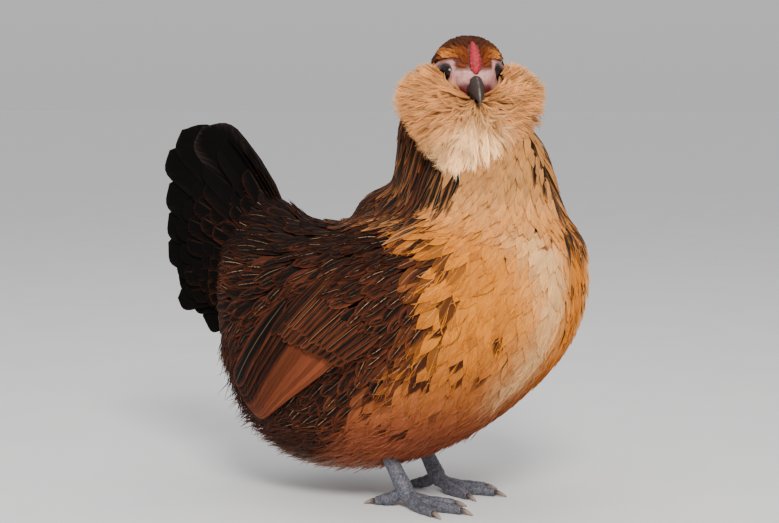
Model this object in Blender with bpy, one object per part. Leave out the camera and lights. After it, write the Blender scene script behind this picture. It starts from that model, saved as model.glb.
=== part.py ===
"""A small bearded bantam hen, life size, standing with its head turned to its right.

The hen faces -Y, +Z is up, and the origin is on the floor under the middle of its length.
All sizes are in metres.
"""
import math
import random

import bpy
import numpy as np
from mathutils import Matrix, Vector

# Gap between the faces of touching pieces.
GAP = 0.0003
# Feather vanes are this thick in the solids.
VANE_THICK = 0.0007
# How a short vane leaves the surface that it grows on: shares of its length, and heights off the surface.
VANE_RISE = ((0.0, -0.0022), (0.28, 0.0010), (1.0, 0.0025))
SEED = 11

# Torso: stations from breast to rump, each (y, lowest z, highest z, half width).
TORSO = (
    (-0.1290, 0.1300, 0.1300, 0.0000),
    (-0.1260, 0.1080, 0.1500, 0.0230),
    (-0.1150, 0.0850, 0.1640, 0.0390),
    (-0.0960, 0.0640, 0.1730, 0.0510),
    (-0.0700, 0.0430, 0.1780, 0.0590),
    (-0.0400, 0.0270, 0.1760, 0.0625),
    (-0.0140, 0.0190, 0.1680, 0.0625),
    (0.0130, 0.0165, 0.1570, 0.0595),
    (0.0330, 0.0190, 0.1570, 0.0550),
    (0.0520, 0.0280, 0.1590, 0.0470),
    (0.0690, 0.0470, 0.1580, 0.0380),
    (0.0830, 0.0700, 0.1500, 0.0270),
    (0.0930, 0.1080, 0.1080, 0.0000),
)
TORSO_FULLNESS = 2.15
TORSO_RINGS = 16
TORSO_SIDES = 24

# Neck: stations up its axis, each (y of centre, z, half depth, half width).
NECK = (
    (-0.0680, 0.1450, 0.0565, 0.0480),
    (-0.0680, 0.1620, 0.0510, 0.0395),
    (-0.0670, 0.1780, 0.0470, 0.0325),
    (-0.0655, 0.1940, 0.0440, 0.0275),
    (-0.0625, 0.2090, 0.0400, 0.0245),
    (-0.0600, 0.2240, 0.0330, 0.0215),
    (-0.0560, 0.2370, 0.0215, 0.0175),
    (-0.0540, 0.2460, 0.0110, 0.0110),
)
NECK_SIDES = 14
NECK_RINGS = 6

# Head frame: midpoint between the eyes, the way it faces, and how far it looks down.
EYES_MID = Vector((-0.0169, -0.0719, 0.2402))
HEAD_HEADING = math.radians(-56)
HEAD_PITCH = math.radians(4)

# Head: stations from nape to beak, each (forward, lowest, highest, half width).
HEAD = (
    (-0.0290, -0.0040, -0.0040, 0.0000),
    (-0.0255, -0.0150, 0.0085, 0.0130),
    (-0.0180, -0.0210, 0.0160, 0.0190),
    (-0.0090, -0.0230, 0.0190, 0.0205),
    (0.0000, -0.0225, 0.0175, 0.0160),
    (0.0060, -0.0200, 0.0130, 0.0122),
    (0.0110, -0.0165, 0.0068, 0.0088),
    (0.0140, -0.0120, 0.0010, 0.0055),
    (0.0150, -0.0060, -0.0060, 0.0000),
)
HEAD_SIDES = 14
HEAD_RINGS = 10

EYE_RADIUS = 0.0056
EYE_OUT = 0.0119
EYE_TURN = math.radians(32)
LID_RADIUS = 0.0052
LID_THICK = 0.0011

# Tail: where the main feathers spring from (y, z), and each pair's angle above the level and reach.
TAIL_ROOT = (0.0420, 0.1180)
TAIL_PAIRS = (
    (55, 0.1125), (49, 0.1195), (42, 0.1165), (34, 0.1040), (25, 0.0950),
    (15, 0.0890), (5, 0.0790), (-6, 0.0695), (-18, 0.0630),
)
TAIL_FEATHER_WIDTH = 0.025
# The tail's core: how far the rump's surface lies from the root, the span of its fan in degrees, and its
# rings, each (reach, share of the feathers' free length, half thickness).
TAIL_RUMP = 0.050
TAIL_CORE_SPAN = (-28, 58)
TAIL_CORE_RINGS = ((0.020, 0.0, 0.0115), (0.046, 0.0, 0.0120), (0.050, 0.25, 0.0095), (0.050, 0.45, 0.0030))
TAIL_CORE_SIDES = 16
# Tail coverts: tiers of shorter feathers over the main ones, each (count, reach, width).
TAIL_COVERT_TIERS = ((4, 0.082, 0.021), (3, 0.064, 0.024))
# The tail folds like a roof: the top pair's distance from the middle, each lower pair's further out, and
# the tip of each feather about its length, so that it overlaps the next one down.
TAIL_RIDGE = 0.0032
TAIL_STEP = 0.0012
TAIL_ROLL = -0.21

# Wing: shoulder and tip (y, z) of its axis, and stations along it, each (share, below, above, side x).
WING_SHOULDER = (-0.0730, 0.1400)
WING_TIP = (0.0460, 0.0580)
WING = (
    (0.00, 0.0020, 0.0020, 0.0520),
    (0.10, 0.0120, 0.0170, 0.0600),
    (0.25, 0.0165, 0.0270, 0.0660),
    (0.45, 0.0160, 0.0340, 0.0685),
    (0.65, 0.0130, 0.0350, 0.0665),
    (0.85, 0.0080, 0.0320, 0.0570),
    (1.00, 0.0040, 0.0260, 0.0450),
)
WING_CORE_END = 0.62
WING_CLEAR = 0.0032
WING_SMOOTH = 0.005

# Leg: hock, ankle and the toes' reach from the ankle.
LEG_X = 0.0215
HOCK = Vector((LEG_X, -0.0140, 0.0480))
ANKLE = Vector((LEG_X, -0.0355, 0.0085))
SHANK_RADIUS = 0.0044
TOE_RADIUS = 0.0033
TOES = (("inner", -26, 0.0260), ("middle", 4, 0.0340), ("outer", 32, 0.0270), ("hind", 172, 0.0165))
# Stations along a toe, each (share of its reach, height above the floor's contact, share of its radius).
TOE_LINE = ((0, 0.0042, 1.15), (0.24, 0.0020, 1.0), (0.44, 0.0003, 1.06), (0.72, 0, 0.92), (1, 0, 0.68))
CLAW_LENGTH = 0.0085
# Stations along a claw, each (share of its length, height of its middle, radius).
CLAW_LINE = ((0.0, 0.0022, 0.0021), (0.35, 0.0024, 0.0017), (0.7, 0.0016, 0.0012), (1.0, 0.0004, 0.0005))
SCUTES = 4
TOE_SCUTES = 2
SCUTE_THICK = 0.0010

COLOURS = {
    "torso": (0.60, 0.33, 0.13), "neck": (0.16, 0.08, 0.04), "head": (0.45, 0.20, 0.07),
    "muff": (0.68, 0.42, 0.20), "wing": (0.22, 0.09, 0.04), "tail": (0.015, 0.013, 0.014),
    "leg": (0.16, 0.17, 0.20), "claw": (0.10, 0.08, 0.07), "beak": (0.09, 0.07, 0.06),
    "comb": (0.62, 0.07, 0.08), "eye": (0.02, 0.01, 0.008), "thigh": (0.52, 0.25, 0.09),
}


def clear_scene():
    for obj in list(bpy.data.objects):
        bpy.data.objects.remove(obj, do_unlink=True)


def eased(xs, ys, x):
    """Value at x of a smooth curve through the points that never overshoots them."""
    xs, ys = np.asarray(xs, float), np.asarray(ys, float)
    step = np.diff(xs)
    slope = np.diff(ys) / step
    tangent = np.zeros(len(xs))
    for i in range(1, len(xs) - 1):
        if slope[i - 1] * slope[i] > 0:
            tangent[i] = 2 * slope[i - 1] * slope[i] / (slope[i - 1] + slope[i])
    tangent[0], tangent[-1] = slope[0], slope[-1]
    x = np.clip(x, xs[0], xs[-1])
    i = int(np.clip(np.searchsorted(xs, x) - 1, 0, len(step) - 1))
    t = (x - xs[i]) / step[i]
    a, b = (1 + 2 * t) * (1 - t) ** 2, t * (1 - t) ** 2
    c, d = t * t * (3 - 2 * t), t * t * (t - 1)
    return float(a * ys[i] + b * step[i] * tangent[i] + c * ys[i + 1] + d * step[i] * tangent[i + 1])


def station(table, at):
    """The row of a table at a place between its stations."""
    columns = list(zip(*table))
    return [eased(columns[0], c, at) for c in columns[1:]]


def spread(first, last, count):
    """Places from first to last, closer together near both ends."""
    return [first + (last - first) * (1 - math.cos(math.pi * i / (count - 1))) / 2 for i in range(count)]


def power(value, exponent):
    return math.copysign(abs(value) ** exponent, value)


def oval(centre, across, up, half_across, half_up, half_down, fullness, sides):
    """A ring of points: an oval whose upper and lower halves have their own heights."""
    ring = []
    for k in range(sides):
        turn = 2 * math.pi * k / sides
        c, s = power(math.cos(turn), 2 / fullness), power(math.sin(turn), 2 / fullness)
        ring.append(centre + across * (half_across * c) + up * ((half_up if s > 0 else half_down) * s))
    return ring


def volume(points, faces):
    p = np.asarray(points, float)
    f = np.asarray(faces, int)
    return float(np.einsum("ij,ij->i", p[f[:, 0]], np.cross(p[f[:, 1]], p[f[:, 2]])).sum() / 6)


def closed_shape(points, faces):
    """Points and triangles, turned so that the faces point out."""
    if volume(points, faces) < 0:
        faces = [f[::-1] for f in faces]
    return [Vector(p) for p in points], faces


def loft(rings, first_pole=None, last_pole=None):
    """A closed shape through rings of equal count, ended by poles or by flat fans."""
    sides = len(rings[0])
    points = [p for ring in rings for p in ring]
    faces = []
    for i in range(len(rings) - 1):
        for k in range(sides):
            a, b = i * sides + k, i * sides + (k + 1) % sides
            faces += [(a, b, b + sides), (a, b + sides, a + sides)]
    for ring, pole, start in ((rings[0], first_pole, 0), (rings[-1], last_pole, (len(rings) - 1) * sides)):
        if pole is None:
            pole = sum(ring, Vector()) / sides
        points.append(pole)
        top = len(points) - 1
        for k in range(sides):
            a, b = start + k, start + (k + 1) % sides
            faces.append((b, a, top) if start == 0 else (a, b, top))
    return closed_shape(points, faces)


def grown(shape, by):
    """The shape with every point moved out along its normal."""
    points, faces = shape
    p, f = np.array([list(v) for v in points]), np.asarray(faces)
    normal = np.cross(p[f[:, 1]] - p[f[:, 0]], p[f[:, 2]] - p[f[:, 0]])
    total = np.zeros_like(p)
    for column in range(3):
        np.add.at(total, f[:, column], normal)
    total /= np.maximum(np.linalg.norm(total, axis=1, keepdims=True), 1e-12)
    return [Vector(v) for v in p + total * by], faces


def ball(centre, radii, turn=None, rings=7, sides=12):
    """A closed ball or oval, with its poles along its own third axis."""
    turn = turn or Matrix.Identity(3)
    bands = []
    for i in range(1, rings):
        tilt = math.pi * i / rings
        bands.append([
            centre + turn @ Vector((
                radii[0] * math.sin(tilt) * math.cos(2 * math.pi * k / sides),
                radii[1] * math.sin(tilt) * math.sin(2 * math.pi * k / sides),
                radii[2] * math.cos(tilt),
            ))
            for k in range(sides)
        ])
    return loft(bands, centre + turn @ Vector((0, 0, radii[2])), centre - turn @ Vector((0, 0, radii[2])))


def vane(line, normals, widths, roll=0.0, thick=VANE_THICK):
    """A closed feather vane along a line of points, tipped about its length by roll."""
    count = len(line)
    points, faces = [], []
    for i, middle in enumerate(line):
        ahead = (line[min(i + 1, count - 1)] - line[max(i - 1, 0)]).normalized()
        side = ahead.cross(normals[i]).normalized()
        up = side.cross(ahead).normalized()
        turn = Matrix.Rotation(roll, 3, ahead)
        side, up = turn @ side, turn @ up
        half = thick / 2 * (1.0 if i < count - 1 else 0.7)
        for face in (1, -1):
            for edge in (-1, 1):
                points.append(middle + side * (edge * widths[i]) + up * (face * half))
    for i in range(count - 1):
        a, b, c, d = range(4 * i, 4 * i + 4)
        faces += [(a, b, b + 4), (a, b + 4, a + 4)]
        faces += [(c, d + 4, d), (c, c + 4, d + 4)]
        faces += [(a, a + 4, c + 4), (a, c + 4, c)]
        faces += [(b, d + 4, b + 4), (b, d, d + 4)]
    last = 4 * (count - 1)
    faces += [(0, 3, 1), (0, 2, 3), (last, last + 1, last + 3), (last, last + 3, last + 2)]
    return closed_shape(points, faces)


def feather_widths(width, count, root=0.45, tip=0.3, fullest=0.6):
    """Half widths along a vane: narrow root, full middle, rounded or pointed tip."""
    shares = [i / (count - 1) for i in range(count)]
    return [width / 2 * eased((0, fullest, 0.88, 1), (root, 1, 0.55 + 0.45 * tip, tip), s) for s in shares]


def mesh_object(name, shape):
    points, faces = shape
    mesh = bpy.data.meshes.new(name)
    mesh.from_pydata([tuple(p) for p in points], [], [tuple(f) for f in faces])
    obj = bpy.data.objects.new(name, mesh)
    bpy.context.scene.collection.objects.link(obj)
    return obj


def combine(obj, shapes, operation):
    """One Boolean of obj with a collection of closed shapes, applied."""
    if not shapes:
        return
    others = bpy.data.collections.new("others")
    bpy.context.scene.collection.children.link(others)
    made = []
    for shape in shapes:
        other = mesh_object("other", shape)
        bpy.context.scene.collection.objects.unlink(other)
        others.objects.link(other)
        made.append(other)
    modifier = obj.modifiers.new("combine", "BOOLEAN")
    modifier.operation = operation
    modifier.operand_type = "COLLECTION"
    modifier.collection = others
    modifier.solver = "MANIFOLD"
    graph = bpy.context.evaluated_depsgraph_get()
    mesh = bpy.data.meshes.new_from_object(obj.evaluated_get(graph))
    obj.modifiers.clear()
    obj.data = mesh
    for other in made:
        bpy.data.objects.remove(other, do_unlink=True)
    bpy.data.collections.remove(others)


def keep_largest(obj):
    """Leaves only the largest closed surface of a mesh."""
    mesh = obj.data
    mesh.calc_loop_triangles()
    points = np.array([v.co for v in mesh.vertices], float).reshape(-1, 3)
    faces = np.array([t.vertices for t in mesh.loop_triangles], int).reshape(-1, 3)
    group = np.arange(len(points))
    while True:
        low = group[faces].min(axis=1)
        new = group.copy()
        for column in range(3):
            np.minimum.at(new, faces[:, column], low)
        new = new[new]
        if (new == group).all():
            break
        group = new
    best = max(set(group[faces[:, 0]]), key=lambda g: volume(points, faces[group[faces[:, 0]] == g]))
    kept = faces[group[faces[:, 0]] == best]
    used, index = np.unique(kept, return_inverse=True)
    clean = bpy.data.meshes.new(obj.name)
    clean.from_pydata(points[used].tolist(), [], index.reshape(-1, 3).tolist())
    obj.data = clean


def material(name, roughness=0.8, metallic=0.0):
    made = bpy.data.materials.get(name)
    if made is None:
        made = bpy.data.materials.new(name)
        made.use_nodes = True
        shader = made.node_tree.nodes["Principled BSDF"]
        shader.inputs["Base Color"].default_value = (*COLOURS[name], 1)
        shader.inputs["Roughness"].default_value = roughness
        shader.inputs["Metallic"].default_value = metallic
    return made


def node(name, finish, pieces, cutters=(), roughness=0.8):
    """One named object: pieces joined into the first, then cut clear of its neighbours."""
    obj = mesh_object(name, pieces[0])
    combine(obj, pieces[1:], "UNION")
    combine(obj, list(cutters), "DIFFERENCE")
    keep_largest(obj)
    obj.data.name = name
    obj.data.materials.append(material(finish, roughness))
    obj.data.shade_smooth()
    obj.data.set_sharp_from_angle(angle=math.radians(35))
    return obj


def torso_section(y):
    low, high, half_width = station(TORSO, y)
    centre = low + 0.50 * (high - low)
    return centre, high - centre, centre - low, half_width


def torso_shape():
    rings = []
    for y in spread(TORSO[0][0], TORSO[-1][0], TORSO_RINGS)[1:-1]:
        centre, above, below, half_width = torso_section(y)
        rings.append(oval(Vector((0, y, centre)), Vector((1, 0, 0)), Vector((0, 0, 1)),
                          half_width, above, below, TORSO_FULLNESS, TORSO_SIDES))
    first, last = TORSO[0], TORSO[-1]
    return loft(rings, Vector((0, first[0], first[1])), Vector((0, last[0], last[1])))


def torso_side(y, z):
    """Half width of the torso at a height, or 0 outside it."""
    if not TORSO[0][0] < y < TORSO[-1][0]:
        return 0.0
    centre, above, below, half_width = torso_section(y)
    share = abs(z - centre) / (above if z > centre else below)
    return half_width * (1 - share ** TORSO_FULLNESS) ** (1 / TORSO_FULLNESS) if share < 1 else 0.0


def neck_section(z):
    columns = list(zip(*NECK))
    y, depth, width = (eased(columns[1], columns[c], z) for c in (0, 2, 3))
    return y, depth, width


def neck_shape():
    rings = []
    low, high = NECK[0][1], NECK[-1][1]
    for i in range(NECK_RINGS):
        z = low + (high - low) * i / (NECK_RINGS - 1)
        y, depth, width = neck_section(z)
        rings.append(oval(Vector((0, y, z)), Vector((1, 0, 0)), Vector((0, 1, 0)),
                          width, depth, depth, 2.0, NECK_SIDES))
    return loft(rings, None, Vector((0, NECK[-1][0], high + 0.003)))


def neck_point(turn, z, out):
    """A point off the neck's surface; turn 0 is the front, growing towards the hen's left."""
    y, depth, width = neck_section(z)
    return Vector(((width + out) * math.sin(turn), y - (depth + out) * math.cos(turn), z))


def head_axes():
    forward = Vector((math.sin(HEAD_HEADING), -math.cos(HEAD_HEADING), 0))
    left = Vector((math.cos(HEAD_HEADING), math.sin(HEAD_HEADING), 0))
    pitch = Matrix.Rotation(HEAD_PITCH, 3, left)
    forward = pitch @ forward
    return forward, left, forward.cross(left)


FORWARD, LEFT, UP = head_axes()


def on_head(forward, left, up):
    """A place given in the head's own directions."""
    return EYES_MID + FORWARD * forward + LEFT * left + UP * up


HEAD_TURN = Matrix((LEFT, FORWARD, UP)).transposed()


def head_shape():
    rings = []
    for f in spread(HEAD[0][0], HEAD[-1][0], HEAD_RINGS)[1:-1]:
        low, high, half_width = station(HEAD, f)
        centre = (low + high) / 2
        rings.append(oval(on_head(f, 0, centre), LEFT, UP, half_width,
                          high - centre, centre - low, 2.1, HEAD_SIDES))
    return loft(rings, on_head(HEAD[0][0], 0, HEAD[0][1]), on_head(HEAD[-1][0], 0, HEAD[-1][1]))


def eye_centre(side):
    return on_head(0.0015, side * EYE_OUT, 0.0)


def eye_shape(side, more=0.0):
    radius = EYE_RADIUS + more
    return ball(eye_centre(side), (radius, radius, radius), HEAD_TURN, 7, 11)


def lid_shape(side, more=0.0):
    """A ring of lid round the eye, facing out and a little forward."""
    thick = LID_THICK + more
    out = LEFT * (side * math.cos(EYE_TURN)) + FORWARD * math.sin(EYE_TURN)
    along = out.cross(UP).normalized()
    rise = along.cross(out).normalized()
    rings = []
    count, sides = 11, 4
    middle = eye_centre(side) + out * 0.0030
    for i in range(count):
        turn = 2 * math.pi * i / count
        radial = along * (math.cos(turn) * 1.08) + rise * (math.sin(turn) * 0.92)
        centre = middle + radial * LID_RADIUS
        rings.append([
            centre + radial.normalized() * (thick * math.cos(2 * math.pi * k / sides))
            + out * (thick * math.sin(2 * math.pi * k / sides))
            for k in range(sides)
        ])
    points = [p for ring in rings for p in ring]
    faces = []
    for i in range(count):
        for k in range(sides):
            a, b = i * sides + k, i * sides + (k + 1) % sides
            c, d = (a + sides) % len(points), (b + sides) % len(points)
            faces += [(a, b, d), (a, d, c)]
    return closed_shape(points, faces)


# Beak: stations along it, each (forward, mouth line, top of ridge, half width).
BEAK_UPPER = (
    (0.0055, -0.0098, -0.0030, 0.0064),
    (0.0115, -0.0092, -0.0004, 0.0054),
    (0.0165, -0.0092, -0.0016, 0.0043),
    (0.0212, -0.0101, -0.0044, 0.0031),
    (0.0250, -0.0122, -0.0085, 0.0018),
    (0.0270, -0.0148, -0.0130, 0.0006),
)
BEAK_LOWER = (
    (0.0055, -0.0163, -0.0102, 0.0060),
    (0.0115, -0.0157, -0.0096, 0.0047),
    (0.0165, -0.0142, -0.0096, 0.0034),
    (0.0208, -0.0130, -0.0105, 0.0021),
    (0.0228, -0.0124, -0.0112, 0.0010),
)


def beak_half(table, domed_up, more=0.0):
    rings = []
    for i, (f, low, high, half_width) in enumerate(table):
        f += more * (2 * i / (len(table) - 1) - 1)
        ring = []
        for k in range(10):
            turn = math.pi * k / 9
            c, s = math.cos(turn), math.sin(turn)
            low_, high_ = low - more, high + more
            rise = low_ + (high_ - low_) * s if domed_up else high_ - (high_ - low_) * s
            ring.append(on_head(f, (half_width + more) * c, rise))
        flat = low - more if domed_up else high + more
        for k in range(1, 4):
            ring.append(on_head(f, (half_width + more) * (k / 2 - 1), flat))
        rings.append(ring)
    return loft(rings)


def nostril(side):
    turn = HEAD_TURN @ Matrix.Rotation(math.radians(-20) * side, 3, "Z")
    return ball(on_head(0.0140, side * 0.0046, -0.0044), (0.0011, 0.0019, 0.0009), turn, 6, 8)


# Comb: a low rose comb from the beak's root back over the crown, each (forward, up, half width, height).
COMB = (
    (0.0140, 0.0000, 0.0024, 0.0016),
    (0.0118, 0.0058, 0.0034, 0.0032),
    (0.0080, 0.0106, 0.0030, 0.0032),
    (0.0030, 0.0142, 0.0020, 0.0024),
    (-0.0030, 0.0164, 0.0011, 0.0016),
    (-0.0070, 0.0174, 0.0007, 0.0008),
)


def comb_pieces():
    rings, tops = [], []
    for i, (f, u, half_width, height) in enumerate(COMB):
        before, after = COMB[max(i - 1, 0)], COMB[min(i + 1, len(COMB) - 1)]
        along = (on_head(after[0], 0, after[1]) - on_head(before[0], 0, before[1])).normalized()
        normal = along.cross(LEFT).normalized()
        if normal.dot(UP + FORWARD * 0.6) < 0:
            normal = -normal
        middle = on_head(f, 0, u)
        rings.append(oval(middle, LEFT, normal, half_width, height, 0.0025, 2.3, 10))
        tops.append((middle, normal, half_width, height))
    pieces = [loft(rings)]
    draw = random.Random(SEED)
    for i in range(1, 5):
        middle, normal, half_width, height = tops[i]
        for share in ((-0.6, 0.6) if i % 2 else (0.0,)):
            place = middle + LEFT * (share * half_width) + normal * (height * (0.95 - 0.3 * abs(share)))
            size = 0.0013 * draw.uniform(0.85, 1.15)
            pieces.append(ball(place, (size, size, size * 1.2), None, 3, 5))
    return pieces


# Ruff of beard and muffs: its middle in the head's directions (forward, left, up), how far it stands
# out in front and behind, and its reach from the middle at angles from straight down.
RUFF_MIDDLE = (-0.0020, 0.0, -0.0135)
RUFF_FRONT = 0.0240
RUFF_BACK = 0.0110
RUFF_REACH = (
    (0, 0.0455), (25, 0.0440), (46, 0.0415), (64, 0.0425),
    (90, 0.0425), (108, 0.0385), (128, 0.0310), (180, 0.0200),
)
# Rings of locks from back to front: the tips' angle from straight ahead, locks in the beard and in a muff.
RUFF_RINGS = ((116, 2, 3), (94, 5, 4), (74, 4, 4), (54, 5, 3), (34, 2, 2))
BEARD_HALF = 37
MUFF_SPAN = (57, 122)
BEARD_LEAN = 0.0100
LOCK_ROOT = 0.42
# The beard and each muff part along a plane at this angle from straight down.
PARTING = 47
BLOCK = 0.08
# Cores that the locks grow from: centre in the head's directions, and radii (left, forward, up).
BEARD_CORE = ((0.0065, 0.0, -0.0265), (0.0135, 0.0110, 0.0105))
MUFF_CORE = ((0.0000, 0.0145, -0.0130), (0.0080, 0.0095, 0.0130))


def ruff_point(side, turn, tilt, share):
    """A point of the ruff: turned from straight down, tilted from straight ahead, at a share of its reach."""
    reach = eased(*zip(*RUFF_REACH), min(abs(turn), 180)) * math.sin(math.radians(tilt)) * share
    ahead = math.cos(math.radians(tilt)) * share
    ahead *= RUFF_FRONT if ahead > 0 else RUFF_BACK
    forward, left, up = RUFF_MIDDLE
    ahead += BEARD_LEAN * share * math.sin(math.radians(tilt)) * max(math.cos(math.radians(turn)), 0.0)
    return on_head(forward + ahead, (left + reach * math.sin(math.radians(turn))) * side,
                   up - reach * math.cos(math.radians(turn)))


def ruff_room():
    """The room that the ruff takes, open far out to the front, so that nothing hides it."""
    rings = []
    for tilt in range(20, 161, 20):
        half = [ruff_point(1, turn, tilt, 1.02) for turn in range(0, 181, 20)]
        other = [ruff_point(-1, turn, tilt, 1.02) for turn in range(160, 0, -20)]
        ahead = FORWARD * (0.030 * max(math.cos(math.radians(tilt)), 0.0))
        rings.append([point + ahead for point in half + other])
    return loft(rings, ruff_point(1, 0, 0, 1.02) + FORWARD * 0.030, ruff_point(1, 0, 180, 1.02))


def lock(side, turn, tilt, width):
    """One tapered lock from the core out to the ruff's outside, bending over its neighbours."""
    line, normals = [], []
    start = tilt - 34
    middle = on_head(RUFF_MIDDLE[0], 0, RUFF_MIDDLE[2])
    for i in range(4):
        t = i / 3
        lean = start + (tilt - start) * t
        share = LOCK_ROOT + (0.98 - LOCK_ROOT) * t ** 0.75
        spot = ruff_point(side, turn, lean, share)
        line.append(spot)
        normals.append((ruff_point(side, turn, max(lean - 12, 2), 1) - middle).normalized())
    return vane(line, normals, feather_widths(width, 4, 0.7, 0.25, 0.5))


def ruff_core(core, side):
    (forward, left, up), radii = core
    return ball(on_head(forward, left * side, up), radii, HEAD_TURN, 7, 12)


def beard_pieces(draw):
    pieces = [ruff_core(BEARD_CORE, 1)]
    for ring, (tilt, count, unused) in enumerate(RUFF_RINGS):
        half = BEARD_HALF * (1 if count > 4 else 0.85)
        for k in range(count):
            turn = -half + 2 * half * k / (count - 1) + draw.uniform(-2, 2)
            width = 0.0125 * (0.75 + 0.25 * math.sin(math.radians(tilt)))
            pieces.append(lock(1 if turn >= 0 else -1, abs(turn), tilt + draw.uniform(-3, 3), width))
    return pieces


def muff_pieces(side, draw):
    pieces = [ruff_core(MUFF_CORE, side)]
    low, high = MUFF_SPAN
    for tilt, unused, count in RUFF_RINGS:
        top = high - 0.42 * max(94 - tilt, 0)
        for k in range(count):
            turn = low + (top - low) * k / (count - 1)
            pieces.append(lock(side, turn + draw.uniform(-2, 2), tilt + draw.uniform(-3, 3), 0.0120))
    return pieces


def beyond_parting(side, outer):
    """A block that holds all on one side of the parting between the beard and a muff."""
    turn = math.radians(PARTING)
    down = -UP * math.cos(turn) + LEFT * (side * math.sin(turn))
    across = LEFT * (side * math.cos(turn)) + UP * math.sin(turn)
    start = on_head(*RUFF_MIDDLE) - down * BLOCK + across * (GAP / 2 if outer else -GAP / 2)
    ends = []
    for f in (-BLOCK, BLOCK):
        corner = start + FORWARD * f
        away = across * (-2 * BLOCK if outer else 2 * BLOCK)
        ends.append([corner, corner + down * (2 * BLOCK), corner + down * (2 * BLOCK) + away, corner + away])
    return loft(ends)


def wing_frame():
    start, end = Vector((0, *WING_SHOULDER)), Vector((0, *WING_TIP))
    along = end - start
    length = along.length
    along.normalize()
    return start, length, along, Vector((0, -along.z, along.y))


def wing_point(side, share, rise, lift):
    """A point on or off the wing's outer face: a share of its length, and a height above its axis."""
    start, length, along, up = wing_frame()
    below, above, out = station(WING, min(max(share, 0.0), 1.0))
    place = start + along * (share * length) + up * rise
    out -= max(share - 1, 0.0) * length * 0.35
    reach = rise / (above if rise > 0 else below * 2.2)
    stiff = out * (1 - 0.30 * min(reach * reach, 1.3))
    body = torso_side(place.y, place.z) + WING_CLEAR
    x = (stiff + body + math.hypot(stiff - body, WING_SMOOTH)) / 2
    return Vector((side * (x + lift), place.y, place.z))


def wing_normal(side, share, rise):
    along = wing_point(side, share + 0.03, rise, 0) - wing_point(side, share - 0.03, rise, 0)
    across = wing_point(side, share, rise + 0.004, 0) - wing_point(side, share, rise - 0.004, 0)
    normal = along.cross(across).normalized()
    return normal if normal.x * side > 0 else -normal


def wing_core(side):
    rows, columns = 8, 6
    outer, inner = [], []
    for i in range(rows):
        share = 0.02 + (WING_CORE_END - 0.02) * i / (rows - 1)
        below, above = station(WING, share)[:2]
        for j in range(columns):
            rise = -below + (below + above) * (0.04 + 0.92 * j / (columns - 1))
            edge = min(i, rows - 1 - i, j, columns - 1 - j)
            outer.append(wing_point(side, share, rise, -0.0002 if edge else -0.0018))
            inner.append(wing_point(side, share, rise, -0.0085 if edge else -0.0045))
    points = outer + inner
    faces = []
    shift = len(outer)
    for i in range(rows - 1):
        for j in range(columns - 1):
            a = i * columns + j
            b, c, d = a + 1, a + columns, a + columns + 1
            faces += [(a, b, d), (a, d, c)]
            faces += [(a + shift, d + shift, b + shift), (a + shift, c + shift, d + shift)]
    rim = list(range(columns))
    rim += [i * columns + columns - 1 for i in range(1, rows)]
    rim += [(rows - 1) * columns + j for j in range(columns - 2, -1, -1)]
    rim += [i * columns for i in range(rows - 2, 0, -1)]
    for a, b in zip(rim, rim[1:] + rim[:1]):
        faces += [(a, b + shift, b), (a, a + shift, b + shift)]
    return closed_shape(points, faces)


def wing_feather(side, root, tip, width, rise, roll, end=0.35):
    """A vane over the wing from root to tip, each (share of the wing's length, height above its axis)."""
    line, normals = [], []
    for t, lift in rise:
        share, height = root[0] + (tip[0] - root[0]) * t, root[1] + (tip[1] - root[1]) * t
        line.append(wing_point(side, share, height, lift))
        normals.append(wing_normal(side, share, height))
    widths = [width / 2 * eased((0, 0.6, 0.88, 1), (0.5, 1, 0.55 + 0.45 * end, end), t) for t, lift in rise]
    return vane(line, normals, widths, roll * side)


# Covert tiers, each (share of the roots, lowest tip's share, highest tip's share, count).
WING_COVERTS = ((0.38, 0.56, 0.74, 7), (0.23, 0.42, 0.55, 6), (0.06, 0.28, 0.34, 4))
# The upper coverts point more steeply down than the lower ones, by this much at their tips.
COVERT_SLANT = 0.0110
# The secondaries fan: their roots stand in a row behind the coverts, and their tips meet at the wing's tip,
# each stacked over the next one down.
SECONDARIES = 8
SECONDARY_WIDTH = 0.0128
SECONDARY_STACK = 0.0042
PRIMARIES = 2
PRIMARY_WIDTH = 0.0085
# How far flight feathers lie off the wing's face along their length, as (share, height).
PRIMARY_RISE = ((0, -0.0040), (0.33, -0.0038), (0.7, -0.0036), (1, -0.0034))
SECONDARY_RISE = ((0, -0.0026), (0.3, -0.0012), (0.7, 0.0002), (1, 0.0004))


def wing_pieces(side):
    pieces = [wing_core(side)]
    for i in range(PRIMARIES):
        t = i / (PRIMARIES - 1)
        root, tip = (0.52, -0.006 + 0.006 * t), (1.10 - 0.03 * t, -0.0070 + 0.004 * t)
        pieces.append(wing_feather(side, root, tip, PRIMARY_WIDTH, PRIMARY_RISE, -0.05, 0.3))
    for i in range(SECONDARIES):
        t = i / (SECONDARIES - 1)
        root, tip = (0.50 + 0.16 * t, -0.0080 + 0.042 * t), (1.05 - 0.02 * t, -0.0065 + 0.020 * t * t)
        rise = [(along, lift + SECONDARY_STACK * t * along) for along, lift in SECONDARY_RISE]
        pieces.append(wing_feather(side, root, tip, SECONDARY_WIDTH, rise, -0.10, 0.5))
    for root, low, high, count in WING_COVERTS:
        for i in range(count):
            t = i / (count - 1)
            place, end = root + (high - low) * t * 0.6, low + (high - low) * t
            below, above = station(WING, place)[:2]
            start = -below + (below + above) * (0.10 + 0.86 * t)
            below, above = station(WING, end)[:2]
            stop = -below + (below + above) * (0.06 + 0.92 * t) - COVERT_SLANT * t
            width = (below + above) * 0.95 / count
            pieces.append(wing_feather(side, (place, start), (end, stop), width, VANE_RISE, -0.05, 0.5))
    return pieces


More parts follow.
